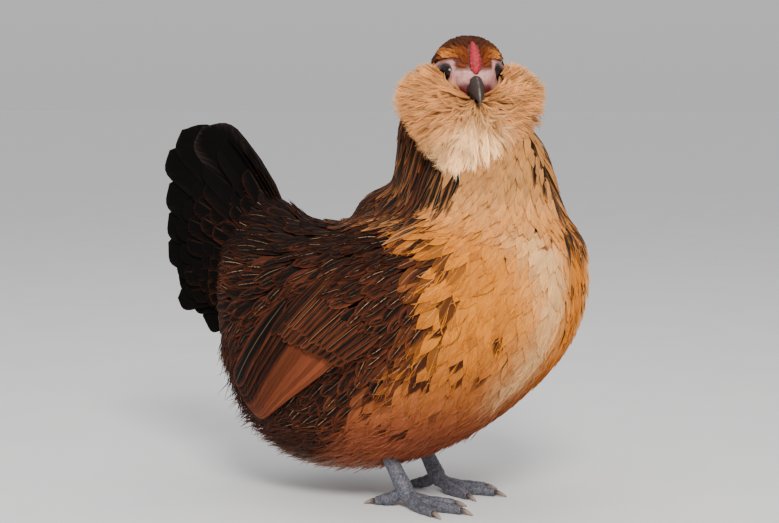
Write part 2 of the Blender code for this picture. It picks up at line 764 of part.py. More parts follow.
def tail_core():
    """The root of the tail: a closed fan from inside the rump to less than half way along the feathers."""
    base = Vector((0, *TAIL_ROOT))
    low, high = TAIL_CORE_SPAN
    rings = []
    for start, share, half in TAIL_CORE_RINGS:
        ring = []
        for k in range(TAIL_CORE_SIDES):
            turn = 2 * math.pi * k / TAIL_CORE_SIDES
            angle = (low + high) / 2 + (high - low) / 2 * math.sin(turn)
            reach = start + share * (eased(*zip(*sorted(TAIL_PAIRS)), angle) - TAIL_RUMP)
            way = Vector((0, math.cos(math.radians(angle)), math.sin(math.radians(angle))))
            wide = half * (1.25 - 0.35 * math.sin(turn))
            ring.append(base + way * reach + Vector((wide * math.cos(turn), 0, 0)))
        rings.append(ring)
    return loft(rings)


def tail_feather(side, pair, angle, reach, width, start, spread_in, spread_out, count, end):
    base = Vector((0, *TAIL_ROOT))
    way = Vector((0, math.cos(math.radians(angle)), math.sin(math.radians(angle))))
    line, normals = [], []
    for i in range(count):
        t = i / (count - 1)
        far = start + (reach - start) * t
        x = spread_in + (spread_out - spread_in) * t
        bow = 0.05 * reach * math.sin(math.pi * t) * (1 if pair < 3 else 0.4)
        line.append(base + way * far + Vector((side * x, bow * -way.z, bow * way.y)))
        normals.append(Vector((side, 0, 0)))
    return vane(line, normals, feather_widths(width, count, 0.5, end, 0.72), TAIL_ROLL * side)


def tail_pieces():
    pieces = [tail_core()]
    for side in (-1, 1):
        for pair, (angle, reach) in enumerate(TAIL_PAIRS):
            width = TAIL_FEATHER_WIDTH * (1 - 0.02 * pair)
            out = TAIL_RIDGE + TAIL_STEP * pair
            rows = 5 if pair < 5 else 4
            pieces.append(tail_feather(side, pair, angle, reach, width, 0.022, out, out, rows, 0.42))
        for tier, (count, reach, width) in enumerate(TAIL_COVERT_TIERS):
            for i in range(count):
                angle = 68 + tier * 4 - 62 * i / (count - 1)
                start, out = 0.0090 + 0.002 * tier, 0.0062 + 0.0036 * i + 0.0015 * tier
                length = reach * (1 - 0.05 * i)
                pieces.append(tail_feather(side, 2, angle, length, width, 0.024, start, out, 4, 0.4))
    return pieces


# Hackle tiers up the neck, each (height of the roots, drop to the tips, vanes in a full turn).
HACKLE_TIERS = ((0.2260, 0.036, 8), (0.2090, 0.035, 9), (0.1920, 0.034, 10), (0.1750, 0.030, 11))
# The hackle leaves the throat bare: the middle of that gap, and half its spread.
THROAT = math.radians(-50)
THROAT_HALF = math.radians(40)


def hackle_pieces():
    pieces = []
    for tier, (height, drop, count) in enumerate(HACKLE_TIERS):
        for k in range(count):
            turn = 2 * math.pi * (k + 0.5 * (tier % 2)) / count
            away = abs((turn - THROAT + math.pi) % (2 * math.pi) - math.pi)
            if away < THROAT_HALF:
                continue
            line, normals = [], []
            for t, lift in VANE_RISE:
                line.append(neck_point(turn, height - drop * t, lift))
                normals.append(Vector((math.sin(turn), -math.cos(turn), 0.45)).normalized())
            bend = line[1]
            if abs(bend.x) < torso_side(bend.y, bend.z):
                continue
            y, depth, width = neck_section(height - drop * 0.5)
            spacing = 2 * math.pi * (depth + width) / 2 / count
            pieces.append(vane(line, normals, feather_widths(spacing * 0.96, 3, 0.6, 0.15, 0.5)))
    return pieces


def tube(line, radii, sides, flat=None):
    """A round limb through a line of points, kept above the level named flat."""
    rings = []
    for i, middle in enumerate(line):
        ahead = (line[min(i + 1, len(line) - 1)] - line[max(i - 1, 0)]).normalized()
        side = ahead.cross(Vector((0, 0, 1)))
        if side.length < 0.1:
            side = ahead.cross(Vector((0, 1, 0)))
        side.normalize()
        up = side.cross(ahead).normalized()
        ring = oval(middle, side, up, radii[i], radii[i], radii[i], 2.0, sides)
        if flat is not None:
            ring = [Vector((p.x, p.y, max(p.z, flat))) for p in ring]
        rings.append(ring)
    return loft(rings)


def mirrored(point, side):
    return Vector((point.x * side, point.y, point.z))


def toe_way(side, angle):
    return Vector((math.sin(math.radians(angle)) * side, -math.cos(math.radians(angle)), 0))


def leg_pieces(side):
    hock, ankle = mirrored(HOCK, side), mirrored(ANKLE, side)
    shank = [hock.lerp(ankle, t) for t in (0, 0.25, 0.5, 0.75, 0.93, 1.1)]
    thick = [1.15, 1.0, 0.95, 0.97, 1.12, 0.9]
    pieces = [tube(shank, [SHANK_RADIUS * k for k in thick], 9, 0.0)]
    along = (ankle - hock).normalized()
    front = Vector((0, -1, 0))
    front = (front - along * front.dot(along)).normalized()
    for i in range(SCUTES):
        place = hock.lerp(ankle, 0.42 + 0.56 * i / (SCUTES - 1))
        line = [place + front * (SHANK_RADIUS * 0.78) - along * 0.0008,
                place + front * (SHANK_RADIUS * 1.03) + along * 0.0024]
        pieces.append(vane(line, [front, front], [0.0030, 0.0027], 0.0, SCUTE_THICK))
    for name, angle, reach in TOES:
        way = toe_way(side, angle)
        low = TOE_RADIUS * 0.80
        rise = 0.0046 if name == "hind" else 0.0
        line, radii = [], []
        for t, lift, wide in TOE_LINE:
            spot = ankle + way * (0.001 + reach * t)
            spot.z = low * (0.5 + wide / 2) + lift + rise * (1 - t) * 0.6
            line.append(spot)
            radii.append(TOE_RADIUS * wide)
        pieces.append(tube(line, radii, 6, 0.0))
        for i in range(TOE_SCUTES if name != "hind" else 1):
            t = 0.40 + 0.26 * i
            spot = ankle + way * (reach * t)
            spot.z = low * 2.0
            pieces.append(vane([spot - way * 0.0016, spot + way * 0.0018 + Vector((0, 0, 0.0006))],
                               [Vector((0, 0, 1))] * 2, [0.0019, 0.0017], 0.0, SCUTE_THICK))
    return pieces


def claw_shape(side, angle, reach, more=0.0):
    way = toe_way(side, angle)
    start = mirrored(ANKLE, side) + way * (reach - 0.0005)
    line, radii = [], []
    for t, z, wide in CLAW_LINE:
        spot = start + way * (CLAW_LENGTH * t + more * (2 * t - 1))
        spot.z = z
        line.append(spot)
        radii.append(wide + more)
    return tube(line, radii, 6, 0.0)


THIGH_TOP = Vector((0.0290, 0.0020, 0.0760))
THIGH_LOW = Vector((0.0235, -0.0170, 0.0300))
THIGH_RADII = (0.0150, 0.0215, 0.0225, 0.0190, 0.0130, 0.0080)


def thigh_shape(side):
    line = [mirrored(THIGH_TOP.lerp(THIGH_LOW, t), side) for t in (0, 0.2, 0.45, 0.7, 0.9, 1.06)]
    return tube(line, THIGH_RADII, 12)


def main():
    clear_scene()
    torso, neck, head = torso_shape(), neck_shape(), head_shape()
    thighs = {side: thigh_shape(side) for side in (-1, 1)}
    names = {-1: "right", 1: "left"}
    sockets = [grown(shape, GAP) for shape in thighs.values()]
    torso_clear, head_clear = grown(torso, GAP), grown(head, GAP)
    eyes_clear = [eye_shape(side, GAP) for side in (-1, 1)]
    beaks_clear = [beak_half(BEAK_UPPER, True, GAP), beak_half(BEAK_LOWER, False, GAP)]

    node("torso", "torso", [torso], sockets)
    node("head", "head", [head, lid_shape(-1), lid_shape(1)], eyes_clear + beaks_clear)
    node("neck", "neck", [neck] + hackle_pieces(), [torso_clear, head_clear, ruff_room()])
    node("comb", "comb", comb_pieces(), [head_clear] + beaks_clear)
    node("beak_upper", "beak", [beak_half(BEAK_UPPER, True)], [nostril(-1), nostril(1)], 0.4)
    node("beak_lower", "beak", [beak_half(BEAK_LOWER, False)], [], 0.4)
    for side, name in names.items():
        node("eye_" + name, "eye", [eye_shape(side)], [], 0.1)

    draw = random.Random(SEED)
    face_clear = [head_clear, lid_shape(-1, 2 * GAP), lid_shape(1, 2 * GAP)] + eyes_clear + beaks_clear
    partings = [beyond_parting(side, False) for side in (-1, 1)]
    node("beard", "muff", beard_pieces(draw), face_clear + partings)
    for side, name in names.items():
        node("muff_" + name, "muff", muff_pieces(side, draw), face_clear + [beyond_parting(side, True)])

    for side, name in names.items():
        node("wing_" + name, "wing", wing_pieces(side), [torso_clear])
        node("thigh_" + name, "thigh", [thighs[side]])
        claws = [(toe, angle, reach) for toe, angle, reach in TOES]
        cleared = [claw_shape(side, angle, reach, GAP) for toe, angle, reach in claws]
        node("leg_" + name, "leg", leg_pieces(side), [torso_clear, grown(thighs[side], GAP)] + cleared, 0.5)
        for toe, angle, reach in claws:
            node(f"claw_{toe}_{name}", "claw", [claw_shape(side, angle, reach)], [], 0.4)
    node("tail", "tail", tail_pieces(), [torso_clear])


main()
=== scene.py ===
"""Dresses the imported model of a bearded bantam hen.

Skin, feathers and bare parts are laid over its solids, with a floor, light and a camera. The hen
faces -Y with its head turned to its right, +Z is up, and its own left side is +X. All sizes are in
metres. In the head's own directions f is forward, l to its left and u up.
"""

import math
from functools import lru_cache

import bpy
import numpy as np
from bpy.props import FloatProperty, FloatVectorProperty, IntProperty, PointerProperty
from mathutils import Matrix, Vector
from mathutils.bvhtree import BVHTree


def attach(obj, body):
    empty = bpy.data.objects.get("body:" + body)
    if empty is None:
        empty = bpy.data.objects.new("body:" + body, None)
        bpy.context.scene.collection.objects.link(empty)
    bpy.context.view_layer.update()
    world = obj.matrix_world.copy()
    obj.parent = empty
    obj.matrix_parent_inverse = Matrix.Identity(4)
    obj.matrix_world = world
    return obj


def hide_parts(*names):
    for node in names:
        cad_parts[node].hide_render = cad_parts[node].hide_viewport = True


bl_info = {
    "name": "Bearded bantam hen",
    "version": (1, 0, 0),
    "blender": (4, 5, 0),
    "location": "View3D > Sidebar > Hen",
    "description": "Builds skin, feathers, bare parts and studio of a life-size bearded bantam hen",
    "category": "Object",
}

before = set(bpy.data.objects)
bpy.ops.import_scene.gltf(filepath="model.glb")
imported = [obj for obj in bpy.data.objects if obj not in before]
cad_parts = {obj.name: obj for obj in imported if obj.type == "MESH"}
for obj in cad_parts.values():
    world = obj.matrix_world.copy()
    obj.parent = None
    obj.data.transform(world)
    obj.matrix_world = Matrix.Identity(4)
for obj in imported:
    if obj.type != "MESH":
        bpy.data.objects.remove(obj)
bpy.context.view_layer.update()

# Torso: stations from breast to rump, each (y, lowest z, highest z, half width).
TORSO = (
    (-0.1290, 0.1300, 0.1300, 0.0000),
    (-0.1260, 0.1080, 0.1500, 0.0230),
    (-0.1150, 0.0850, 0.1640, 0.0390),
    (-0.0960, 0.0640, 0.1730, 0.0510),
    (-0.0700, 0.0430, 0.1780, 0.0590),
    (-0.0400, 0.0270, 0.1760, 0.0625),
    (-0.0140, 0.0190, 0.1680, 0.0625),
    (0.0130, 0.0165, 0.1570, 0.0595),
    (0.0330, 0.0190, 0.1570, 0.0550),
    (0.0520, 0.0280, 0.1590, 0.0470),
    (0.0690, 0.0470, 0.1580, 0.0380),
    (0.0830, 0.0700, 0.1500, 0.0270),
    (0.0930, 0.1080, 0.1080, 0.0000),
)
TORSO_FULLNESS = 2.15

# Neck: stations up its axis, each (z, y of centre, half depth, half width).
NECK = (
    (0.1450, -0.0680, 0.0565, 0.0480),
    (0.1620, -0.0680, 0.0510, 0.0395),
    (0.1780, -0.0670, 0.0470, 0.0325),
    (0.1940, -0.0655, 0.0440, 0.0275),
    (0.2090, -0.0625, 0.0400, 0.0245),
    (0.2240, -0.0600, 0.0330, 0.0215),
    (0.2370, -0.0560, 0.0215, 0.0175),
    (0.2460, -0.0540, 0.0110, 0.0110),
)
NECK_AXIS_Y = -0.066
# The hackle leaves the throat bare: the middle of that gap round the neck, and how far its dark
# feathers are turned from there.
THROAT = math.radians(-50)
THROAT_SHIFT = 0.10

# Head frame: midpoint between the eyes, the way it faces, and how far it looks down.
EYES_MID = Vector((-0.0169, -0.0719, 0.2402))
HEAD_HEADING = math.radians(-56)
HEAD_PITCH = math.radians(4)

# Head: stations from nape to beak, each (forward, lowest, highest, half width).
HEAD = (
    (-0.0290, -0.0040, -0.0040, 0.0000),
    (-0.0255, -0.0150, 0.0085, 0.0130),
    (-0.0180, -0.0210, 0.0160, 0.0190),
    (-0.0090, -0.0230, 0.0190, 0.0205),
    (0.0000, -0.0225, 0.0175, 0.0160),
    (0.0060, -0.0200, 0.0130, 0.0122),
    (0.0110, -0.0165, 0.0068, 0.0088),
    (0.0140, -0.0120, 0.0010, 0.0055),
    (0.0150, -0.0060, -0.0060, 0.0000),
)
EYE_RADIUS = 0.0056
EYE_OUT = 0.0119
EYE_TURN = math.radians(32)
LID_RADIUS = 0.0052

# Beak: stations along it, each (forward, mouth line, top of ridge, half width).
BEAK_UPPER = (
    (0.0055, -0.0098, -0.0030, 0.0064),
    (0.0115, -0.0092, -0.0004, 0.0054),
    (0.0165, -0.0092, -0.0016, 0.0043),
    (0.0212, -0.0101, -0.0044, 0.0031),
    (0.0250, -0.0122, -0.0085, 0.0018),
    (0.0270, -0.0148, -0.0130, 0.0006),
)
BEAK_LOWER = (
    (0.0055, -0.0163, -0.0102, 0.0060),
    (0.0115, -0.0157, -0.0096, 0.0047),
    (0.0165, -0.0142, -0.0096, 0.0034),
    (0.0208, -0.0130, -0.0105, 0.0021),
    (0.0228, -0.0124, -0.0112, 0.0010),
)
NOSTRIL = (0.0140, 0.0046, -0.0044)

# Comb: from the beak's root back over the crown, each (station, forward, up, half width, height).
COMB = (
    (0, 0.0140, 0.0000, 0.0024, 0.0016),
    (1, 0.0118, 0.0058, 0.0034, 0.0032),
    (2, 0.0080, 0.0106, 0.0030, 0.0032),
    (3, 0.0030, 0.0142, 0.0020, 0.0024),
    (4, -0.0030, 0.0164, 0.0011, 0.0016),
    (5, -0.0070, 0.0174, 0.0007, 0.0008),
)
COMB_BEAD = 0.00056

# Ruff of beard and muffs: its middle in the head's directions (forward, left, up), how far it
# stands out in front and behind, and its reach from the middle at angles from straight down.
RUFF_MIDDLE = (-0.0020, 0.0, -0.0135)
RUFF_FRONT = 0.0240
RUFF_BACK = 0.0110
RUFF_REACH = (
    (0, 0.0455), (25, 0.0425), (46, 0.0385), (64, 0.0400),
    (90, 0.0425), (108, 0.0385), (128, 0.0310), (180, 0.0200),
)
BEARD_LEAN = 0.0100
PARTING = 47
TUFT_HAIRS = 9
# Each part of the ruff: name, where it begins and ends from straight down, its side, its share of
# the barbs, and its seed.
RUFFS = (
    ("beard", -PARTING, PARTING, 0, 0.36, 41),
    ("muff_left", PARTING, 126, 1, 0.32, 42),
    ("muff_right", PARTING, 126, -1, 0.32, 43),
)

# Wing: shoulder and tip (y, z) of its axis, and stations along it, each (share, height below the
# axis, height above it, side x).
WING_SHOULDER = (-0.0730, 0.1400)
WING_TIP = (0.0460, 0.0580)
WING = (
    (0.00, 0.0020, 0.0020, 0.0520),
    (0.10, 0.0120, 0.0170, 0.0600),
    (0.25, 0.0165, 0.0270, 0.0660),
    (0.45, 0.0160, 0.0340, 0.0685),
    (0.65, 0.0130, 0.0350, 0.0665),
    (0.85, 0.0080, 0.0320, 0.0570),
    (1.00, 0.0040, 0.0260, 0.0450),
)
WING_CORE_END = 0.62
WING_CLEAR = 0.0032
WING_SMOOTH = 0.005
COVERT_SLANT = 0.0110
SECONDARY_STACK = 0.0042
# How many primaries, secondaries and coverts of each row a wing shows, and the share of the
# secondaries, from the lowest up, that have the chestnut bay.
PRIMARIES, SECONDARIES, COVERTS = 3, 13, 13
WING_BAY = 0.64
# How far flight feathers and coverts stand off the wing at shares of their length.
PRIMARY_LIFT = ((0, -0.0036), (0.33, -0.0034), (0.7, -0.0031), (1, -0.0029))
SECONDARY_LIFT = ((0, -0.0022), (0.3, -0.0008), (0.7, 0.0004), (1, 0.0006))
COVERT_LIFT = ((0, -0.0022), (0.35, -0.0002), (0.75, 0.0010), (1, 0.0012))

# Tail: where the main feathers spring from (y, z), and each pair's angle above the level and reach.
TAIL_ROOT = (0.0420, 0.1180)
TAIL_PAIRS = (
    (55, 0.1125), (49, 0.1195), (42, 0.1165), (34, 0.1040), (25, 0.0950),
    (15, 0.0890), (5, 0.0790), (-6, 0.0695), (-18, 0.0630),
)
TAIL_RIDGE = 0.0032
TAIL_STEP = 0.0012
TAIL_ROLL = -0.21
# The fleshy root of the tail: how far it spreads, its rings (start, share of the rest, half width),
# and the reach up to which small feathers cover it.
TAIL_CORE_SPAN = (-28, 70)
TAIL_CORE_RINGS = (
    (0.016, 0.0, 0.0150), (0.046, 0.0, 0.0125), (0.050, 0.20, 0.0095), (0.050, 0.42, 0.0030))
TAIL_RUMP = 0.050
# Rows of tail coverts, each (feathers, reach, width, first and last angle above the level).
TAIL_COVERTS = (
    (9, 0.094, 0.0190, 57, -8), (9, 0.084, 0.0175, 60, -4),
    (10, 0.074, 0.0160, 63, -6), (10, 0.064, 0.0150, 66, -8),
)

# Leg: hock, ankle, and the toes' directions and reaches from the ankle.
LEG_X = 0.0215
HOCK = Vector((LEG_X, -0.0140, 0.0480))
ANKLE = Vector((LEG_X, -0.0355, 0.0085))
SHANK_RADIUS = 0.0044
TOE_RADIUS = 0.0033
TOES = (
    ("inner", -26, 0.0260), ("middle", 4, 0.0340), ("outer", 32, 0.0270), ("hind", 172, 0.0165))
# Thickness of the shank at shares of its length.
SHANK_LINE = (
    (0, 1.15), (0.15, 1.06), (0.3, 0.98), (0.5, 0.95), (0.7, 0.96),
    (0.85, 1.04), (0.95, 1.12), (1.05, 1.0), (1.1, 0.85),
)
# Toe and claw at shares of their length: (share, height, thickness).
TOE_LINE = (
    (0, 0.0042, 1.15), (0.24, 0.0020, 1.0), (0.44, 0.0003, 1.06), (0.72, 0, 0.92), (1, 0, 0.68))
HIND_RISE = 0.0046
SCUTE_SIZE = (0.00185, 0.00055)
CLAW_LENGTH = 0.0085
CLAW_LINE = (
    (0.0, 0.0022, 0.0021), (0.35, 0.0024, 0.0017), (0.7, 0.0016, 0.0012), (1.0, 0.0004, 0.0005))
THIGH_TOP = Vector((0.0290, 0.0020, 0.0760))
THIGH_LOW = Vector((0.0235, -0.0170, 0.0300))
THIGH_LINE = (
    (0, 0.0150), (0.19, 0.0215), (0.42, 0.0225), (0.66, 0.0190), (0.85, 0.0130), (1, 0.0080))

# Where the dark side of the body meets the buff breast, each (z, y).
DARK_EDGE = (
    (0.000, 0.020), (0.021, 0.009), (0.040, -0.013), (0.059, -0.015), (0.069, -0.032),
    (0.082, -0.049), (0.106, -0.061), (0.127, -0.072), (0.147, -0.065), (0.164, -0.041),
    (0.178, -0.036), (0.300, -0.036),
)

# Outlines of small feathers: width at shares of the length.
ROUND = ((0, 0.40), (0.22, 0.84), (0.45, 1.0), (0.66, 0.95), (0.83, 0.76), (0.94, 0.46), (1, 0.12))
POINTED = (
    (0, 0.45), (0.20, 0.86), (0.42, 1.0), (0.62, 0.88), (0.80, 0.60), (0.93, 0.28), (1, 0.05))
SMALL = ((0, 0.40), (0.30, 0.92), (0.60, 1.0), (0.85, 0.66), (1, 0.16))
# Shares of a long feather's length at which it has a row of points.
LONG_ROWS = (0, 0.10, 0.26, 0.44, 0.62, 0.78, 0.86, 0.91, 0.945, 0.97, 0.988, 1.0)
VANE_THICK = 0.00022
# Lengths and widths of the small feathers before they vary, and the least length of the down.
BODY_LENGTH, BODY_WIDTH = 0.0172, 0.0082
CROWN_LENGTH, CROWN_WIDTH = 0.0052, 0.0018
HACKLE_WIDTH = 0.0044
DOWN_LENGTH = 0.0085
# How many loose barbs the belly and the thighs have as built.
DOWN_HAIRS = 5200
# Fixed seeds of the places of feathers or barbs, and of what is drawn for each.
COAT_SEEDS, HACKLE_SEEDS, CROWN_SEEDS, DOWN_SEEDS = (11, 12), (21, 22), (31, 32), (71, 72)
WING_SEED, TAIL_SEED, COMB_SEED = 51, 61, 81
# Marks of a feather: dark centre, pale shaft, width of the edge. Barbs have none.
NO_MARK = (0, 0, 0)
# What goes into the group of nodes that strews small shapes, and what comes out of it.
NODE_SOCKETS = (
    ("Geometry", "INPUT", "Geometry"), ("Size", "INPUT", "Float"), ("Thickness", "INPUT", "Float"),
    ("Geometry", "OUTPUT", "Geometry"),
)

# Where the camera stands, the ways it looks and has to its right, and how far away a thing as wide
# as the picture stands, in picture widths.
CAMERA_PLACE = (-0.8469, -0.4285, 0.224)
CAMERA_AHEAD = (0.8946, 0.4369, -0.0944)
CAMERA_RIGHT = (0.4388, -0.8986, 0.0)
PICTURE_WIDTHS = 1672 / 779
# What the soft lamps shine at, and the lamps, each (name, place, size, power, colour).
LAMP_AIM = (0, 0, 0.12)
LAMPS = (
    ("key", (-0.95, -0.62, 0.95), 0.40, 22, (1.0, 0.97, 0.93)),
    ("fill", (-1.1, 0.9, 0.9), 1.2, 3, (0.96, 0.98, 1.0)),
    ("top", (0.1, 0.1, 1.6), 1.2, 5, (1.0, 0.98, 0.96)),
)

SIDES = ((-1, "right"), (1, "left"))
X_AXIS, Y_AXIS, Z_AXIS = Vector((1, 0, 0)), Vector((0, 1, 0)), Vector((0, 0, 1))


def linear(red, green, blue):
    """Linear colour of an 8-bit screen colour."""
    shares = (c / 255 for c in (red, green, blue))
    return tuple(((c + 0.055) / 1.055) ** 2.4 if c > 0.04 else c / 12.92 for c in shares)


def distance_property(name, description, default, low, high):
    return FloatProperty(name=name, description=description, default=default, min=low, max=high,
                         subtype="DISTANCE", unit="LENGTH")


def number_property(name, description, default, low, high):
    return IntProperty(name=name, description=description, default=default, min=low, max=high)


def colour_property(name, description, red, green, blue):
    return FloatVectorProperty(name=name, description=description, default=linear(red, green, blue),
                               size=3, min=0.0, max=1.0, subtype="COLOR")


class HenSizes(bpy.types.PropertyGroup):
    """Sizes of the coat that a user would change."""
    spacing: distance_property(
        "Feather spacing", "Distance between neighbouring body feathers", 0.0050, 0.003, 0.02)
    coat_depth: distance_property(
        "Coat depth", "How far the skin lies under the tips of the body feathers",
        0.0034, 0.001, 0.01)
    hackle_length: distance_property(
        "Hackle length", "Length of the longest neck feathers", 0.036, 0.01, 0.06)
    crown_spacing: distance_property(
        "Crown spacing", "Distance between the small feathers of the head", 0.0014, 0.0008, 0.004)
    ruff_hairs: number_property(
        "Beard and muff hairs", "Number of soft barbs in the beard and both muffs",
        16000, 500, 24000)
    fluff_hairs: number_property(
        "Belly fluff hairs", "Number of loose barbs on belly and thighs", DOWN_HAIRS, 0, 20000)


class HenColours(bpy.types.PropertyGroup):
    """Colours of feathers and bare parts."""
    buff: colour_property("Buff", "Upper breast", 208, 126, 36)
    rust: colour_property("Rust", "Lower breast and belly", 142, 76, 48)
    cream: colour_property("Cream", "Middle of the beard", 255, 220, 162)
    muff: colour_property("Muff", "Muffs and edge of the beard", 230, 156, 82)
    umber: colour_property("Umber", "Edges of the dark feathers", 92, 46, 26)
    black: colour_property("Black", "Centres of the dark feathers and the tail", 20, 15, 13)
    chestnut: colour_property("Chestnut", "Wing bay", 118, 60, 36)
    quill: colour_property("Quill", "Shafts of the feathers", 214, 166, 120)
    gold: colour_property("Gold", "Patches above the eyes", 208, 124, 52)
    crown: colour_property("Crown", "Top of the head", 112, 48, 16)
    face: colour_property("Face", "Bare skin of the face", 206, 160, 152)
    gape: colour_property("Gape", "Skin at the corners of the beak", 96, 30, 34)
    comb: colour_property("Comb", "Comb", 172, 30, 46)
    horn: colour_property("Horn", "Beak and claws", 50, 41, 38)
    shank: colour_property("Shank", "Scales of legs and toes", 92, 96, 108)
    eye: colour_property("Eye", "Iris", 24, 14, 11)


def sizes():
    return bpy.context.scene.hen_sizes


def shade(name):
    """A named colour as a numpy row."""
    return np.array(getattr(bpy.context.scene.hen_colours, name)[:])


def eased(xs, ys, x):
    """Value at x of a smooth curve through the points that never overshoots them."""
    xs, ys = np.asarray(xs, float), np.asarray(ys, float)
    gap = np.diff(xs)
    slope = np.diff(ys) / gap
    tangent = np.zeros(len(xs))
    for i in range(1, len(xs) - 1):
        if slope[i - 1] * slope[i] > 0:
            tangent[i] = 2 * slope[i - 1] * slope[i] / (slope[i - 1] + slope[i])
    tangent[0], tangent[-1] = slope[0], slope[-1]
    x = min(max(x, xs[0]), xs[-1])
    i = int(min(max(np.searchsorted(xs, x) - 1, 0), len(gap) - 1))
    t = (x - xs[i]) / gap[i]
    a, b = (1 + 2 * t) * (1 - t) ** 2, t * (1 - t) ** 2
    c, d = t * t * (3 - 2 * t), t * t * (t - 1)
    return float(a * ys[i] + b * gap[i] * tangent[i] + c * ys[i + 1] + d * gap[i] * tangent[i + 1])


def station(table, at):
    """The row of a table at a place between its stations."""
    columns = list(zip(*table))
    return [eased(columns[0], c, at) for c in columns[1:]]


def spread(first, last, count):
    """Places from first to last, closer together near both ends."""
    return [first + (last - first) * (1 - math.cos(math.pi * i / (count - 1))) / 2
            for i in range(count)]


def step(x, low, high):
    """0 below low, 1 above high, smooth between."""
    t = np.clip((np.asarray(x, float) - low) / (high - low), 0, 1)
    return t * t * (3 - 2 * t)


def blend(first, second, share):
    """first where share is 0, second where it is 1."""
    return first + (second - first) * share


def power(value, exponent):
    return math.copysign(abs(value) ** exponent, value)


def slanted(degrees):
    """The way in the hen's middle plane at an angle above the level, to the rear."""
    return Vector((0, math.cos(math.radians(degrees)), math.sin(math.radians(degrees))))


def oval(centre, across, up, half_across, half_up, half_down, fullness, sides):
    """A ring of points: an oval whose upper and lower halves have their own heights."""
    ring = []
    for k in range(sides):
        turn = 2 * math.pi * k / sides
        c, s = power(math.cos(turn), 2 / fullness), power(math.sin(turn), 2 / fullness)
        height = (half_up if s > 0 else half_down) * s
        ring.append(centre + across * (half_across * c) + up * height)
    return ring


def turned_out(points, faces):
    """Faces in the order that makes them point outwards."""
    corner = points[faces] - points.mean(axis=0)
    inside = np.einsum("ij,ij->i", corner[:, 0], np.cross(corner[:, 1], corner[:, 2])).sum() < 0
    return faces[:, ::-1] if inside else faces


def band(count, sides, closed=False):
    """Triangles between rings of points, and from the last ring to the first where closed."""
    faces = []
    for i in range(count if closed else count - 1):
        ahead = ((i + 1) % count - i) * sides
        for k in range(sides):
            a, b = i * sides + k, i * sides + (k + 1) % sides
            faces += [(a, b, b + ahead), (a, b + ahead, a + ahead)]
    return faces


def loft(rings, first_pole=None, last_pole=None):
    """Points and triangles of a closed shape through rings of equal count."""
    sides, last = len(rings[0]), (len(rings) - 1) * len(rings[0])
    points = [p for ring in rings for p in ring]
    faces = band(len(rings), sides)
    for ring, pole, start in ((rings[0], first_pole, 0), (rings[-1], last_pole, last)):
        points.append(pole if pole is not None else sum(ring, Vector()) / sides)
        top = len(points) - 1
        for k in range(sides):
            a, b = start + k, start + (k + 1) % sides
            faces.append((b, a, top) if start == 0 else (a, b, top))
    points = np.array([tuple(p) for p in points])
    return points, turned_out(points, np.array(faces))


@lru_cache(maxsize=None)
def vane_faces(rows, columns):
    """Triangles of a closed vane: a grid of points above, then the same below."""
    faces, shift = [], rows * columns
    for i in range(rows - 1):
        for j in range(columns - 1):
            a = i * columns + j
            b, c, d = a + 1, a + columns, a + columns + 1
            faces += [(a, b, d), (a, d, c)]
            faces += [(a + shift, d + shift, b + shift), (a + shift, c + shift, d + shift)]
    rim = list(range(columns))
    rim += [i * columns + columns - 1 for i in range(1, rows)]
    rim += [(rows - 1) * columns + j for j in range(columns - 2, -1, -1)]
    rim += [i * columns for i in range(rows - 2, 0, -1)]
    for a, b in zip(rim, rim[1:] + rim[:1]):
        faces += [(a, b + shift, b), (a, a + shift, b + shift)]
    return np.array(faces)


@lru_cache(maxsize=None)
def barb_faces(rings):
    """Triangles of a thin three-sided barb."""
    last = 3 * (rings - 1)
    return np.array(band(rings, 3) + [(0, 2, 1), (last, last + 1, last + 2)])


def joined(shapes):
    """Several (points, triangles) as one."""
    points, faces, base = [], [], 0
    for p, f in shapes:
        points.append(p)
        faces.append(np.asarray(f) + base)
        base += len(p)
    return np.vstack(points), np.vstack(faces)


def new_mesh(name, points, faces):
    """A mesh from arrays of points and of triangles."""
    mesh = bpy.data.meshes.new(name)
    points, faces = np.asarray(points, np.float32), np.asarray(faces, np.int32)
    mesh.vertices.add(len(points))
    mesh.vertices.foreach_set("co", points.ravel())
    mesh.loops.add(faces.size)
    mesh.loops.foreach_set("vertex_index", faces.ravel())
    mesh.polygons.add(len(faces))
    mesh.polygons.foreach_set("loop_start", np.arange(0, faces.size, 3, dtype=np.int32))
    mesh.update(calc_edges=True)
    mesh.validate()
    return mesh


def as_arrays(mesh):
    """Points and triangles of a mesh."""
    mesh.calc_loop_triangles()
    points = np.zeros(len(mesh.vertices) * 3)
    mesh.vertices.foreach_get("co", points)
    faces = np.zeros(len(mesh.loop_triangles) * 3, int)
    mesh.loop_triangles.foreach_get("vertices", faces)
    return points.reshape(-1, 3), faces.reshape(-1, 3)


def flat_normals(corner):
    """Normals, as long as twice the area, of triangles given by their corners."""
    return np.cross(corner[:, 1] - corner[:, 0], corner[:, 2] - corner[:, 0])


def corner_normals(points, faces):
    """Area-weighted normal at each point."""
    flat = flat_normals(points[faces])
    total = np.zeros_like(points)
    for column in range(3):
        np.add.at(total, faces[:, column], flat)
    return total / np.maximum(np.linalg.norm(total, axis=1, keepdims=True), 1e-12)


def linked(name, mesh):
    """A new object in the scene."""
    obj = bpy.data.objects.new(name, mesh)
    bpy.context.scene.collection.objects.link(obj)
    return obj


def worked_out(obj):
    """Points and triangles of an object once its modifiers have run. The object is removed."""
    graph = bpy.context.evaluated_depsgraph_get()
    mesh = bpy.data.meshes.new_from_object(obj.evaluated_get(graph))
    result = as_arrays(mesh)
    bpy.data.objects.remove(obj, do_unlink=True)
    bpy.data.meshes.remove(mesh)
    return result


